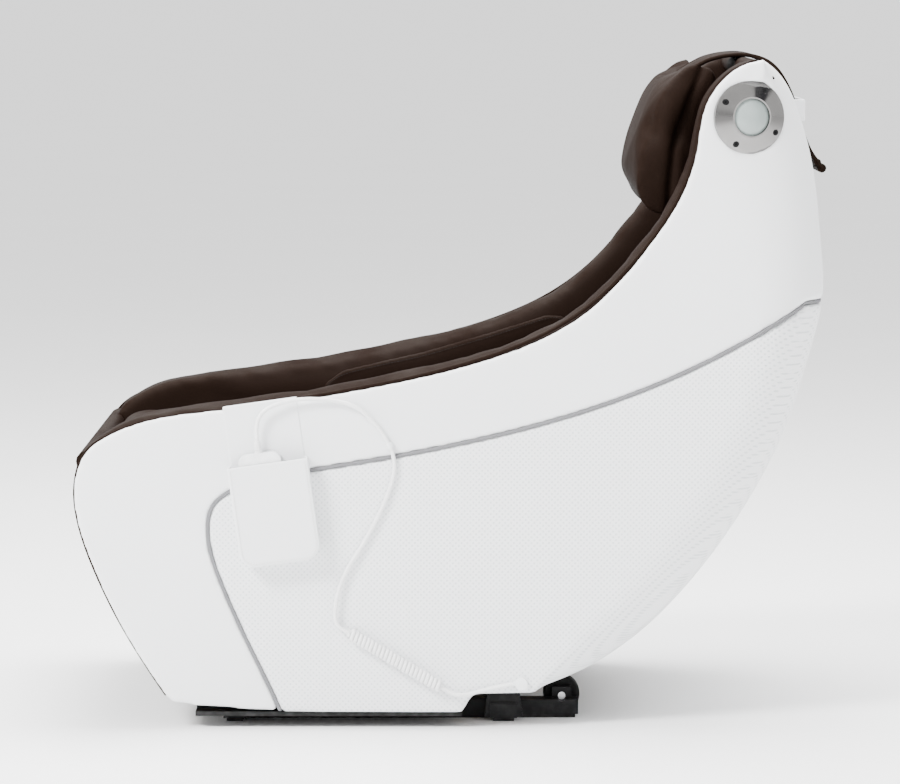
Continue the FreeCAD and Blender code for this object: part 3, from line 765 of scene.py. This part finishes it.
@dataclass(frozen=True)
class Leather:
    """Grained leather with soft creases, slightly worn along its edges."""

    name: str
    colour: Colour
    worn: Colour
    roughness: float
    pebbles: float = 620.0
    grain_depth: float = 0.00012
    crease_depth: float = 0.0012
    crease_scale: float = 9.0
    ior: float = 1.4

    def build(self) -> bpy.types.Material:
        """Make the material."""
        material, sketch, shader = new_surface(self.name, IOR=self.ior)
        grain = placed(sketch, leather_grain(), Pebbles=self.pebbles, Creases=self.crease_scale)
        wear = placed(sketch, edge_wear(), Amount=0.5)
        film = placed(sketch, dust(), Amount=0.02)
        tint = tuple(c * 0.93 for c in self.colour)
        colour = sketch.blend(grain.outputs["Crease"], self.colour, tint)
        colour = sketch.blend(wear.outputs["Mask"], colour, self.worn)
        colour = sketch.blend(film.outputs["Mask"], colour, (0.55, 0.52, 0.48))
        sketch.feed(shader, "Base Color", colour)
        rough = sketch.maths("MULTIPLY_ADD", grain.outputs["Crease"], 0.16, self.roughness - 0.08)
        sketch.feed(shader, "Roughness", rough)
        creases = bumped(sketch, shader, grain.outputs["Crease"], self.crease_depth, 0.6)
        bumped(sketch, shader, grain.outputs["Height"], self.grain_depth, 0.7, creases)
        return material


@dataclass(frozen=True)
class MeshCloth:
    """White perforated spacer cloth, with painted shade in its recessed holes."""

    name: str
    colour: Colour
    # Painted shade: the darker colour that the recessed holes take.
    hole: Colour
    pitch: float

    def build(self) -> bpy.types.Material:
        """Make the material."""
        material, sketch, shader = new_surface(self.name, Sheen_Weight=0.25, Sheen_Roughness=0.5)
        weave = placed(sketch, diamond_mesh(), Pitch=self.pitch)
        place = sketch.place()
        slow = sketch.noise(place, 5.0, 3.0)
        tint = tuple(c * 0.96 for c in self.colour)
        colour = sketch.blend(slow, self.colour, tint)
        # Painted shade: the holes are blended to the darker colour, standing in for the shade inside them.
        sketch.feed(shader, "Base Color", sketch.blend(weave.outputs["Hole"], colour, self.hole))
        sketch.feed(shader, "Roughness", sketch.maths("MULTIPLY_ADD", weave.outputs["Hole"], 0.2, 0.55))
        bumped(sketch, shader, weave.outputs["Height"], 0.0005, 0.8)
        return material


@dataclass(frozen=True)
class Metal:
    """Bright or coated metal with fine lines, smudges and worn edges."""

    name: str
    colour: Colour
    roughness: float
    metallic: float = 1.0
    worn: Colour = (0.45, 0.45, 0.46)
    wear: float = 0.3
    film: float = 0.08
    ior: float = 1.5
    lines: float = 240.0

    def build(self) -> bpy.types.Material:
        """Make the material."""
        material, sketch, shader = new_surface(self.name, Metallic=self.metallic, IOR=self.ior)
        place = sketch.place()
        smudge = sketch.noise(place, 22.0, 5.0, in_Distortion=0.8)
        stretched = sketch.node("Mapping", in_Vector=place, in_Scale=(0.05, 1.0, 1.0))
        fine = sketch.noise(stretched.outputs[0], self.lines * 8, 2.0)
        wear = placed(sketch, edge_wear(), Amount=self.wear)
        film = placed(sketch, dust(), Amount=self.film)
        colour = sketch.blend(smudge, self.colour, tuple(c * 0.9 for c in self.colour))
        colour = sketch.blend(wear.outputs["Mask"], colour, self.worn)
        colour = sketch.blend(film.outputs["Mask"], colour, (0.4, 0.38, 0.35))
        sketch.feed(shader, "Base Color", colour)
        sketch.feed(shader, "Roughness", sketch.maths("MULTIPLY_ADD", smudge, 0.14, self.roughness))
        bumped(sketch, shader, fine, 0.00004, 0.4)
        return material


@dataclass(frozen=True)
class Moulding:
    """Moulded plastic or rubber with a spark-eroded texture."""

    name: str
    colour: Colour
    roughness: float
    texture_depth: float = 0.00008
    coat: float = 0.0
    dust_amount: float = 0.03
    ior: float = 1.45

    def build(self) -> bpy.types.Material:
        """Make the material."""
        material, sketch, shader = new_surface(self.name, Coat_Weight=self.coat, Coat_Roughness=0.12, IOR=self.ior)
        place = sketch.place()
        texture = sketch.noise(place, 1400.0, 3.0)
        slow = sketch.noise(place, 30.0, 4.0)
        wear = placed(sketch, edge_wear(), Amount=0.35)
        film = placed(sketch, dust(), Amount=self.dust_amount)
        colour = sketch.blend(slow, self.colour, tuple(c * 0.92 for c in self.colour))
        colour = sketch.blend(wear.outputs["Mask"], colour, tuple(min(1.0, c * 1.5 + 0.03) for c in self.colour))
        colour = sketch.blend(film.outputs["Mask"], colour, (0.42, 0.40, 0.37))
        sketch.feed(shader, "Base Color", colour)
        sketch.feed(shader, "Roughness", sketch.maths("MULTIPLY_ADD", slow, 0.12, self.roughness - 0.05))
        bumped(sketch, shader, texture, self.texture_depth, 0.5)
        return material


@dataclass(frozen=True)
class TwistedCord:
    """Grey twisted piping or thread, with painted shade in the grooves between its strands."""

    name: str
    colour: Colour
    # Painted shade for the grooves between the strands.
    dark: Colour
    pitch: float = 0.0022

    def build(self) -> bpy.types.Material:
        """Make the material."""
        material, sketch, shader = new_surface(self.name, Roughness=0.6, IOR=1.25)
        parts = sketch.node("SeparateXYZ", in_Vector=sketch.place())
        along = sketch.maths("ADD", sketch.maths("ADD", parts.outputs["Y"], parts.outputs["Z"]), parts.outputs["X"])
        wave = sketch.maths("SINE", sketch.maths("MULTIPLY", along, 2 * math.pi / self.pitch))
        twist = sketch.ramp(wave, -1.0, 1.0)
        # Painted shade: the dark colour falls where the twist's bump is lowest, in the grooves.
        sketch.feed(shader, "Base Color", sketch.blend(twist, self.dark, self.colour))
        bumped(sketch, shader, twist, 0.0003, 0.7)
        return material


@dataclass(frozen=True)
class Plywood:
    """Birch plywood with its plies across X and a long grain on its faces."""

    name: str
    pale: Colour
    dark: Colour

    def build(self) -> bpy.types.Material:
        """Make the material."""
        material, sketch, shader = new_surface(self.name)
        place = sketch.place()
        stretched = sketch.node("Mapping", in_Vector=place, in_Scale=(1.0, 0.12, 1.0))
        grain = sketch.noise(stretched.outputs[0], 120.0, 6.0, in_Distortion=1.2)
        across = sketch.node("SeparateXYZ", in_Vector=place).outputs["X"]
        plies = sketch.ramp(sketch.maths("SINE", sketch.maths("MULTIPLY", across, 2 * math.pi / 0.0036)), -0.3, 0.3)
        side = sketch.node("SeparateXYZ", in_Vector=sketch.node("NewGeometry").outputs["Normal"]).outputs["X"]
        edge = sketch.maths("SUBTRACT", 1.0, sketch.ramp(sketch.maths("ABSOLUTE", side), 0.4, 0.9))
        colour = sketch.blend(sketch.ramp(grain, 0.35, 0.7), self.pale, self.dark)
        plied = sketch.blend(plies, colour, tuple(c * 0.6 for c in self.dark))
        sketch.feed(shader, "Base Color", sketch.blend(edge, colour, plied))
        sketch.feed(shader, "Roughness", sketch.maths("MULTIPLY_ADD", grain, 0.2, 0.55))
        bumped(sketch, shader, grain, 0.0002, 0.4)
        return material


@dataclass(frozen=True)
class Finishes:
    """Every finish of the chair, built once."""

    white: Leather = Leather("white_leather", (0.80, 0.81, 0.82), (0.86, 0.86, 0.86), 0.42,
                             pebbles=700.0, grain_depth=0.00005, crease_depth=0.0009, crease_scale=6.0, ior=1.4)
    # The mesh's second colour is painted shade for its holes.
    mesh: MeshCloth = MeshCloth("quilted_mesh", (0.79, 0.80, 0.81), (0.58, 0.60, 0.62), 0.0078)
    brown: Leather = Leather("brown_leather", (0.0100, 0.0056, 0.0040), (0.014, 0.009, 0.006), 0.56,
                             pebbles=620.0, grain_depth=0.00010, crease_depth=0.0022, crease_scale=11.0, ior=1.07)
    # The second colour of each twisted cord is painted shade for its grooves.
    thread: TwistedCord = TwistedCord("brown_thread", (0.004, 0.003, 0.002), (0.002, 0.0015, 0.001))
    white_thread: TwistedCord = TwistedCord("white_thread", (0.80, 0.80, 0.80), (0.62, 0.62, 0.62))
    piping: TwistedCord = TwistedCord("grey_piping", (0.19, 0.19, 0.20), (0.11, 0.11, 0.115))
    black_steel: Metal = Metal("black_powder_coat", (0.006, 0.006, 0.0065), 0.45, metallic=0.0,
                               worn=(0.02, 0.02, 0.02), wear=0.4, film=0.015, ior=1.2)
    zinc: Metal = Metal("zinc_steel", (0.55, 0.55, 0.57), 0.28)
    chrome: Metal = Metal("chrome_trim", (0.22, 0.215, 0.21), 0.05, 1.0, (0.5, 0.5, 0.5), 0.1)
    dome: Moulding = Moulding("frosted_dome", (0.24, 0.28, 0.27), 0.38, 0.00005, 0.5, 0.02)
    plywood: Plywood = Plywood("birch_plywood", (0.60, 0.43, 0.26), (0.45, 0.30, 0.17))
    nylon: Moulding = Moulding("black_nylon", (0.02, 0.02, 0.021), 0.45, ior=1.3)
    roller: Moulding = Moulding("grey_roller", (0.22, 0.22, 0.24), 0.5)
    black_plastic: Moulding = Moulding("black_plastic", (0.007, 0.007, 0.007), 0.5, ior=1.25)
    rubber: Moulding = Moulding("black_rubber", (0.008, 0.008, 0.008), 0.75, 0.0002, ior=1.2)
    white_plastic: Moulding = Moulding("white_plastic", (0.80, 0.81, 0.82), 0.3, 0.00003, 0.3, 0.02)
    button: Moulding = Moulding("grey_button", (0.35, 0.36, 0.38), 0.5)
    sheath: Moulding = Moulding("cord_sheath", (0.80, 0.80, 0.80), 0.35, 0.00004, 0.1, 0.02)

    def made(self) -> dict[str, bpy.types.Material]:
        """Build every material, by its field's name."""
        return {name: getattr(self, name).build() for name in self.__dataclass_fields__}


def dress(piece: bpy.types.Object, material: bpy.types.Material) -> bpy.types.Object:
    """Give a piece one material.

    Args:
        piece: The object.
        material: The material.

    Returns:
        The same object.
    """
    piece.data.materials.clear()
    piece.data.materials.append(material)
    return piece


# ------------------------------------------------------------------ sub-assemblies


@dataclass
class Covers:
    """White padded covers of the bucket, with the piping between them."""

    frame: dict
    looks: dict[str, bpy.types.Material]
    voxel: float = 0.0045
    overlap: float = 0.0015
    piping_voxel: float = 0.0011

    def build(self) -> list[bpy.types.Object]:
        """Make the covers and the piping.

        Returns:
            The new pieces.
        """
        made = []
        for end, look, slot in (("upper", "white", "white_leather"), ("lower", "mesh", "quilted_mesh")):
            nodes = (f"side_cover_{end}_left", f"side_cover_{end}_right", f"back_cover_{end}")
            copies = [copy_of(self.frame, node, node + "_copy") for node in nodes]
            for copy in copies:
                finish_with(copy, "DISPLACE", strength=self.overlap, mid_level=0.0)
            skin = joined(f"skin_{end}", copies)
            softened(skin, self.voxel, Smoothing.SOFT)
            dress(skin, self.looks[look])
            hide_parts(*nodes)
            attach(skin, "bucket")
            made.append(skin)
        cord = softened(copy_of(self.frame, "piping", "piping_cord"), self.piping_voxel, Smoothing.PLUMP)
        dress(cord, self.looks["piping"])
        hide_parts("piping")
        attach(cord, "bucket")
        return made + [cord]


@dataclass
class Seat:
    """Dark leather seat: centre pad, bolsters, hip pads and front panel, with their seams."""

    frame: dict
    looks: dict[str, bpy.types.Material]
    shrink: float = 0.0015
    pad_cap: float = 0.012
    seam_depth: float = 0.006
    ripple_depth: float = 0.0011
    cross_seams: tuple[float, ...] = (-8.0, 22.0, 48.0)
    hip_rim: list[tuple[float, float]] = field(default_factory=lambda: [
        (-0.184, 0.406), (-0.178, 0.418), (-0.156, 0.432), (-0.100, 0.446), (-0.041, 0.459), (0.056, 0.487),
        (0.137, 0.513), (0.159, 0.511), (0.167, 0.503)])

    def shrunk(self, node: str, name: str) -> bpy.types.Object:
        """Copy a CAD pad a little smaller than it is."""
        piece = copy_of(self.frame, node, name)
        return finish_with(piece, "DISPLACE", strength=-self.shrink, mid_level=0.0)

    def track(self, co: Vector) -> tuple[float, float]:
        """The radius and the angle, in degrees from straight down, of a point about the track's centre."""
        y, z = co.y - TRACK_CENTRE[0], co.z - TRACK_CENTRE[1]
        return math.hypot(y, z), math.degrees(math.atan2(y, -z))

    def pad_depth(self, co: Vector, normal: Vector) -> float:
        """Sewn channels and soft wrinkles of the centre pad.

        Args:
            co: A point of the pad.
            normal: Its normal. Not used.

        Returns:
            How far the point goes in.
        """
        radius, angle = self.track(co)
        if radius > PAD_RADIUS + 0.016 and co.y > -0.40:
            return 0.0
        seams = sum(groove((angle - at) * math.radians(1) * PAD_RADIUS, 0.007) for at in self.cross_seams)
        edges = groove(abs(co.x) - 0.118, 0.006) if angle > -8 else 0.0
        ripple = math.sin(co.x * 31 + math.sin(co.y * 17)) * math.sin(co.y * 43 + co.x * 9)
        return self.seam_depth * min(1.0, seams + edges) + self.ripple_depth * ripple

    def bolster_depth(self, co: Vector, normal: Vector) -> float:
        """Soft pull wrinkles of a bolster."""
        ripple = math.sin(co.y * 52 + co.x * 20) * math.sin(co.z * 37 + co.y * 11)
        return 0.0012 * ripple if normal.z > 0.1 or normal.x < -0.2 else 0.0

    def build(self) -> list[bpy.types.Object]:
        """Make the pads and their seams.

        Returns:
            The new pieces.
        """
        pad = self.shrunk("centre_pad", "seat_pad")
        inflated(pad, self.pad_cap, lambda co: self.track(co)[0] > PAD_RADIUS + 0.012 and co.y > -0.42, 0.0075)
        pressed(pad, self.pad_depth)
        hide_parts("centre_pad")
        bolster = self.shrunk("bolster_left", "bolster_skin_left")
        inflated(bolster, 0.009, lambda co: co.x > 0.272 or self.track(co)[0] > PAD_RADIUS + 0.014, 0.0065)
        pressed(bolster, self.bolster_depth)
        hip = copy_of(self.frame, "hip_pad_left", "hip_skin_left")
        inflated(hip, 0.004, lambda co: co.x > 0.2045, 0.003, 3.0)
        front = copy_of(self.frame, "front_panel", "front_skin")
        inflated(front, 0.005, self.inside_front, 0.0075)
        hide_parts("front_panel")
        spread = (-0.281, -0.2, 0.0, 0.2, 0.281)
        crest = tube("crest_roll", [(x, 0.401, 0.8835) for x in spread], 0.0125, 5)
        nose = tube("nose_roll", [(x, -0.4895, 0.3600) for x in spread], 0.0140, 5)
        seam = self.edge_welt("seat_welt_left")
        rim = smooth_line([(0.1965, y, z) for y, z in self.hip_rim], 6)
        sewing = stitches("hip_stitches_left", rim, (-1, 0, 0))
        made = [pad, front, crest, nose]
        for left, node in ((bolster, "bolster"), (hip, "hip_pad"), (seam, None), (sewing, None)):
            right = mirror_copy(left, left.name.replace("_left", "_right"))
            for side, piece in (("left", left), ("right", right)):
                if node:
                    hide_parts(f"{node}_{side}")
                made.append(piece)
        for piece in made:
            dress(piece, self.looks["thread" if "stitches" in piece.name else "brown"])
            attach(piece, "bucket")
        return made

    def inside_front(self, co: Vector) -> bool:
        """Whether a point is on the front panel's hidden inner face."""
        return co.y > -0.505 + 0.1 * abs(co.z - 0.30) + 0.9 * max(0.0, 0.235 - co.z) * 0.55 + 0.006

    def edge_welt(self, name: str) -> bpy.types.Object:
        """Thin dark welt where the seat meets the left side cover."""
        front = [(0.2850, y, z) for y, z in FRONT_LINE]
        return tube(name, front + [(0.2830, y, z + 0.0012) for y, z in SEAT_LINE[1:]], 0.0026)


@dataclass
class HeadPillow:
    """Crowned pillow on its strap, and the white loop that holds the strap's tail."""

    frame: dict
    looks: dict[str, bpy.types.Material]
    cap: float = 0.016
    strap_half: float = 0.0745
    strap_line: list[tuple[float, float]] = field(default_factory=lambda: [
        (0.318, 0.872), (0.345, 0.888), (0.362, 0.8945), (0.384, 0.8985), (0.407, 0.8985), (0.430, 0.892),
        (0.446, 0.880), (0.459, 0.861), (0.469, 0.839), (0.476, 0.815), (0.480, 0.800), (0.485, 0.787),
        (0.493, 0.768), (0.503, 0.753), (0.510, 0.743)])
    seam_line: list[tuple[float, float]] = field(default_factory=lambda: [
        (0.296, 0.672), (0.297, 0.720), (0.302, 0.772), (0.322, 0.832), (0.342, 0.888)])

    def pillow_depth(self, co: Vector, normal: Vector) -> float:
        """The sewn seam round the pillow's sides, and pinches at its ends.

        Args:
            co: A point of the pillow.
            normal: Its normal. Not used.

        Returns:
            How far the point goes in.
        """
        target = self.seam_y(co.z)
        seam = groove(co.y - target, 0.006) * 0.005 * min(1.0, max(0.0, (abs(co.x) - 0.12) / 0.03))
        pinch = math.sin(co.z * 90 + co.y * 40) * 0.0012 * min(1.0, abs(co.x) / 0.16) ** 3
        return seam + pinch

    def seam_y(self, height: float) -> float:
        """Read the side seam's Y at a height.

        Args:
            height: The height.

        Returns:
            The seam's Y there.
        """
        for (y0, z0), (y1, z1) in zip(self.seam_line, self.seam_line[1:]):
            if height <= z1:
                return y0 + (y1 - y0) * max(0.0, (height - z0) / (z1 - z0))
        return self.seam_line[-1][0]

    def build(self) -> list[bpy.types.Object]:
        """Make the pillow, both lengths of strap and the loop.

        Returns:
            The new pieces.
        """
        pillow = finish_with(copy_of(self.frame, "pillow", "head_pillow"), "DISPLACE", strength=-0.008, mid_level=0.0)
        inflated(pillow, self.cap, lambda co: False, 0.0055, 5.0)
        finish_with(pillow, "SMOOTH", factor=0.5, iterations=22)
        pressed(pillow, self.pillow_depth)
        loop = softened(copy_of(self.frame, "strap_loop", "strap_keeper"), 0.0014, Smoothing.CRISP)
        for piece, look, body, slot in ((pillow, "brown", "pillow", "brown_leather"),
                                        (loop, "white", "bucket", "white_leather")):
            dress(piece, self.looks[look])
            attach(piece, body)
        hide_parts("pillow")
        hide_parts("strap_loop")
        return [pillow, loop, self.strap()]

    def strap(self) -> bpy.types.Object:
        """Make the strap in one length, with bound edges and a rolled end.

        Returns:
            The strap.
        """
        line = smooth_line([(0.0, y, z) for y, z in self.strap_line], 5)
        parts = [ribbon("strap_band", line, self.strap_half, 0.004)]
        for side in SIDES.values():
            edge = [(side * (self.strap_half - 0.001), y, z) for _, y, z in line]
            parts.append(tube("strap_edge", edge, 0.0030))
        y, z = self.strap_line[-1]
        spread = (-self.strap_half, -0.03, 0.03, self.strap_half)
        parts.append(tube("strap_end", [(x, y, z) for x in spread], 0.0062, 4))
        parts.append(tube("strap_end_turn", [(x, y - 0.006, z + 0.008) for x in spread], 0.0050, 4))
        band = dress(joined("pillow_strap", parts), self.looks["brown"])
        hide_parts("front_strap", "rear_strap")
        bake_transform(band)
        return band


@dataclass
class SidePocket:
    """White pocket with the remote in it, and the curly cord."""

    frame: dict
    looks: dict[str, bpy.types.Material]
    diameter: float = 0.0055
    coil_radius: float = 0.00575
    turns: int = 25
    points_per_turn: int = 14
    plain_length: float = 0.60
    rim_at: Point = (0.3184, -0.246, 0.3615)
    rim_tilt: float = math.radians(7.9)
    upper: list[Point] = field(default_factory=lambda: [
        (0.3045, -0.2600, 0.3898), (0.3045, -0.2647, 0.4238), (0.303, -0.225, 0.444), (0.300, -0.176, 0.447),
        (0.298, -0.127, 0.438), (0.2975, -0.093, 0.403), (0.297, -0.074, 0.364), (0.297, -0.082, 0.323),
        (0.297, -0.111, 0.262), (0.2985, -0.149, 0.205), (0.301, -0.1605, 0.1444)])
    coil: tuple[Point, Point] = ((0.301, -0.138, 0.131), (0.301, -0.014, 0.057))
    lower: list[Point] = field(default_factory=lambda: [
        (0.301, 0.008, 0.0439), (0.299, 0.047, 0.055), (0.298, 0.082, 0.062)])

    def helix(self) -> list[Point]:
        """Points of the curly length, opening from its axis and closing back to it.

        Returns:
            The points, in order.
        """
        start, end = Vector(self.coil[0]), Vector(self.coil[1])
        along = (end - start).normalized()
        across = Vector((1.0, 0.0, 0.0))
        third = along.cross(across)
        steps = self.turns * self.points_per_turn
        lead = self.points_per_turn * 0.6
        points = []
        for step in range(steps + 1):
            reach = self.coil_radius * min(1.0, step / lead, (steps - step) / lead)
            turn = 2 * math.pi * step / self.points_per_turn
            place = start.lerp(end, step / steps) + (across * math.cos(turn) + third * math.sin(turn)) * reach
            points.append(tuple(place))
        return points

    def cord(self) -> bpy.types.Object:
        """Make the remote's cord, from its strain relief to the gland, as one smooth line.

        Returns:
            The curve object.
        """
        points = self.upper + self.helix() + self.lower
        piece = round_line("remote_cord", points, self.diameter / 2, 4, 4)
        dress(piece, self.looks["sheath"])
        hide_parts("cord_upper", "cord_coil", "cord_lower")
        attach(piece, "bucket")
        return piece

    def build(self) -> list[bpy.types.Object]:
        """Make the pocket's skin and stitches and the cord.

        Returns:
            The new pieces.
        """
        skin = softened(copy_of(self.frame, "pocket", "pocket_skin"), 0.0013, Smoothing.CRISP)
        dress(skin, self.looks["white"])
        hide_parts("pocket")
        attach(skin, "bucket")
        rim = [(self.rim_at[0], y, z) for y, z in self.pocket_rim()]
        sewing = stitches("pocket_stitches", rim, (1, 0, 0), 0.0036)
        dress(sewing, self.looks["white_thread"])
        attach(sewing, "bucket")
        return [skin, sewing, self.cord()]

    def pocket_rim(self) -> list[tuple[float, float]]:
        """The stitch line 4 mm inside the pocket's outline, in Y and Z.

        Returns:
            The points, from the mouth's front corner round the bottom to its rear corner.
        """
        tilt = self.rim_tilt
        half, deep, corner = 0.050, 0.132, 0.017
        local = [(-half, -0.003), (-half, corner - deep)]
        for side, start in ((-1, 180), (1, 270)):
            for step in range(0, 91, 15):
                a = math.radians(start + step)
                local.append((side * (half - corner) + corner * math.cos(a), corner - deep + corner * math.sin(a)))
        local += [(half, corner - deep), (half, -0.003)]
        return [(self.rim_at[1] + u * math.cos(tilt) - v * math.sin(tilt),
                 self.rim_at[2] + u * math.sin(tilt) + v * math.cos(tilt)) for u, v in local]


@dataclass
class Hardware:
    """Parts that keep their CAD shape and only take a finish."""

    frame: dict
    looks: dict[str, bpy.types.Material]
    finish_of: dict[str, str] = field(default_factory=lambda: {
        "base_frame": "black_steel", "floor_strip": "rubber", "pivot_pins": "zinc", "actuator_housing": "black_plastic",
        "actuator_rod": "zinc", "cross_tubes": "black_steel", "carriage_frame": "nylon",
        "drive_motors": "black_plastic",
        "travel_shaft": "zinc", "kneading_shaft": "zinc", "underside_panel": "black_plastic", "speaker_domes": "dome",
        "bezel_screws": "black_steel", "remote": "white_plastic", "strain_relief": "sheath",
        "cord_fittings": "white_plastic", "power_panel": "black_plastic", "power_switch": "black_plastic",
        "power_inlet": "black_plastic", "control_box": "black_plastic", "wheel": "rubber", "side_frame": "plywood",
        "guide_rail": "zinc", "massage_arm": "nylon", "speaker_bezel": "chrome", "roller": "roller",
        "button": "button"})

    def build(self) -> int:
        """Dress every CAD part that still shows.

        Returns:
            How many parts were dressed.
        """
        dressed = 0
        for name, node in self.frame["nodes"].items():
            for start, look in self.finish_of.items():
                if name.startswith(start) and not node.hide_render:
                    node.data.materials.clear()
                    node.data.materials.append(self.looks[look])
                    only(node)
                    bpy.ops.object.shade_smooth_by_angle(angle=SMOOTH_ANGLE)
                    dressed += 1
                    break
        return dressed


@dataclass
class Studio:
    """Pale floor, soft lights and the camera."""

    eye: Point = (5.792, -0.0027, 1.0)
    aim: Point = (0.292, -0.0027, 0.4545)
    lens: float = 165.8
    middle: Point = (0.0, 0.0, 0.45)
    floor_size: float = 3000.0
    sky_strength: float = 1.75
    lights: tuple[tuple[str, Point, float, float], ...] = (
        ("key", (2.4, -2.7, 3.2), 1.3, 520), ("fill", (3.6, 3.0, 2.0), 3.0, 60), ("top", (-0.6, 0.2, 3.6), 2.4, 380))
    flags: tuple[tuple[Point, float], ...] = (((0.45, 0.88, -0.30), 0.955), ((0.30, 0.75, 0.62), 0.965),
                                              ((0.95, -0.30, 0.10), 0.975))

    def floor(self) -> None:
        """A flat pale floor, wide enough for its edge to stay out of sight."""
        bpy.ops.object.select_all(action="DESELECT")
        bpy.ops.mesh.primitive_plane_add(size=self.floor_size, location=(0, 0, 0))
        ground = bpy.context.active_object
        ground.name = "studio_floor"
        material, sketch, shader = new_surface("studio_floor", Roughness=0.6)
        place = sketch.place()
        cloud = sketch.noise(place, 1.5, 2.0)
        sketch.feed(shader, "Base Color", sketch.blend(cloud, (0.90, 0.90, 0.90), (0.93, 0.93, 0.93)))
        dress(ground, material)

    def light(self, name: str, place: Point, size: float, power: float) -> None:
        """Add a square soft light aimed at the chair's middle.

        Args:
            name: The light's name.
            place: Where it stands.
            size: The length of its side.
            power: Its power in watts.
        """
        data = bpy.data.lights.new(name, "AREA")
        data.shape = "SQUARE"
        data.size = size
        data.energy = power
        lamp = bpy.data.objects.new(name, data)
        lamp.location = place
        lamp.rotation_euler = (Vector(self.middle) - Vector(place)).to_track_quat("-Z", "Y").to_euler()
        bpy.context.scene.collection.objects.link(lamp)

    def build(self) -> None:
        """Set the floor, lights, sky and camera."""
        self.floor()
        for lamp in self.lights:
            self.light(*lamp)
        world = bpy.data.worlds.new("studio")
        world.use_nodes = True
        sketch = Sketch(world.node_tree)
        sky = world.node_tree.nodes["Background"]
        toward = sketch.node("TexCoord").outputs["Generated"]
        dark = 0.0
        for direction, reach in self.flags:
            facing = sketch.node("VectorMath", operation="DOT_PRODUCT")
            sketch.feed(facing, 0, toward)
            sketch.feed(facing, 1, tuple(Vector(direction).normalized()))
            dark = sketch.maths("MAXIMUM", dark, sketch.ramp(facing.outputs["Value"], reach, reach + 0.015))
        sketch.feed(sky, "Color", sketch.blend(dark, (1.0, 1.0, 1.0), (0.08, 0.08, 0.09)))
        sketch.feed(sky, "Strength", self.sky_strength)
        bpy.context.scene.world = world
        camera = bpy.data.objects.new("camera", bpy.data.cameras.new("camera"))
        camera.data.lens = self.lens
        camera.data.sensor_width = 36
        camera.data.clip_end = 2000
        camera.location = self.eye
        camera.rotation_euler = (Vector(self.aim) - Vector(self.eye)).to_track_quat("-Z", "Y").to_euler()
        bpy.context.scene.collection.objects.link(camera)
        bpy.context.scene.camera = camera


def main() -> None:
    """Build the chair's looks in order and report each piece."""
    logging.basicConfig(level=logging.INFO, format="%(name)s: %(message)s")
    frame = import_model()
    Studio().build()
    looks = Finishes().made()
    for assembly in (SidePocket(frame, looks), Covers(frame, looks), Seat(frame, looks), HeadPillow(frame, looks)):
        for piece in assembly.build():
            count = len(piece.data.polygons) if piece.type == "MESH" else 0
            log.info("%s: %s, %d faces", type(assembly).__name__, piece.name, count)
    log.info("Hardware: %d CAD parts dressed", Hardware(frame, looks).build())


if __name__ == "__main__":
    main()
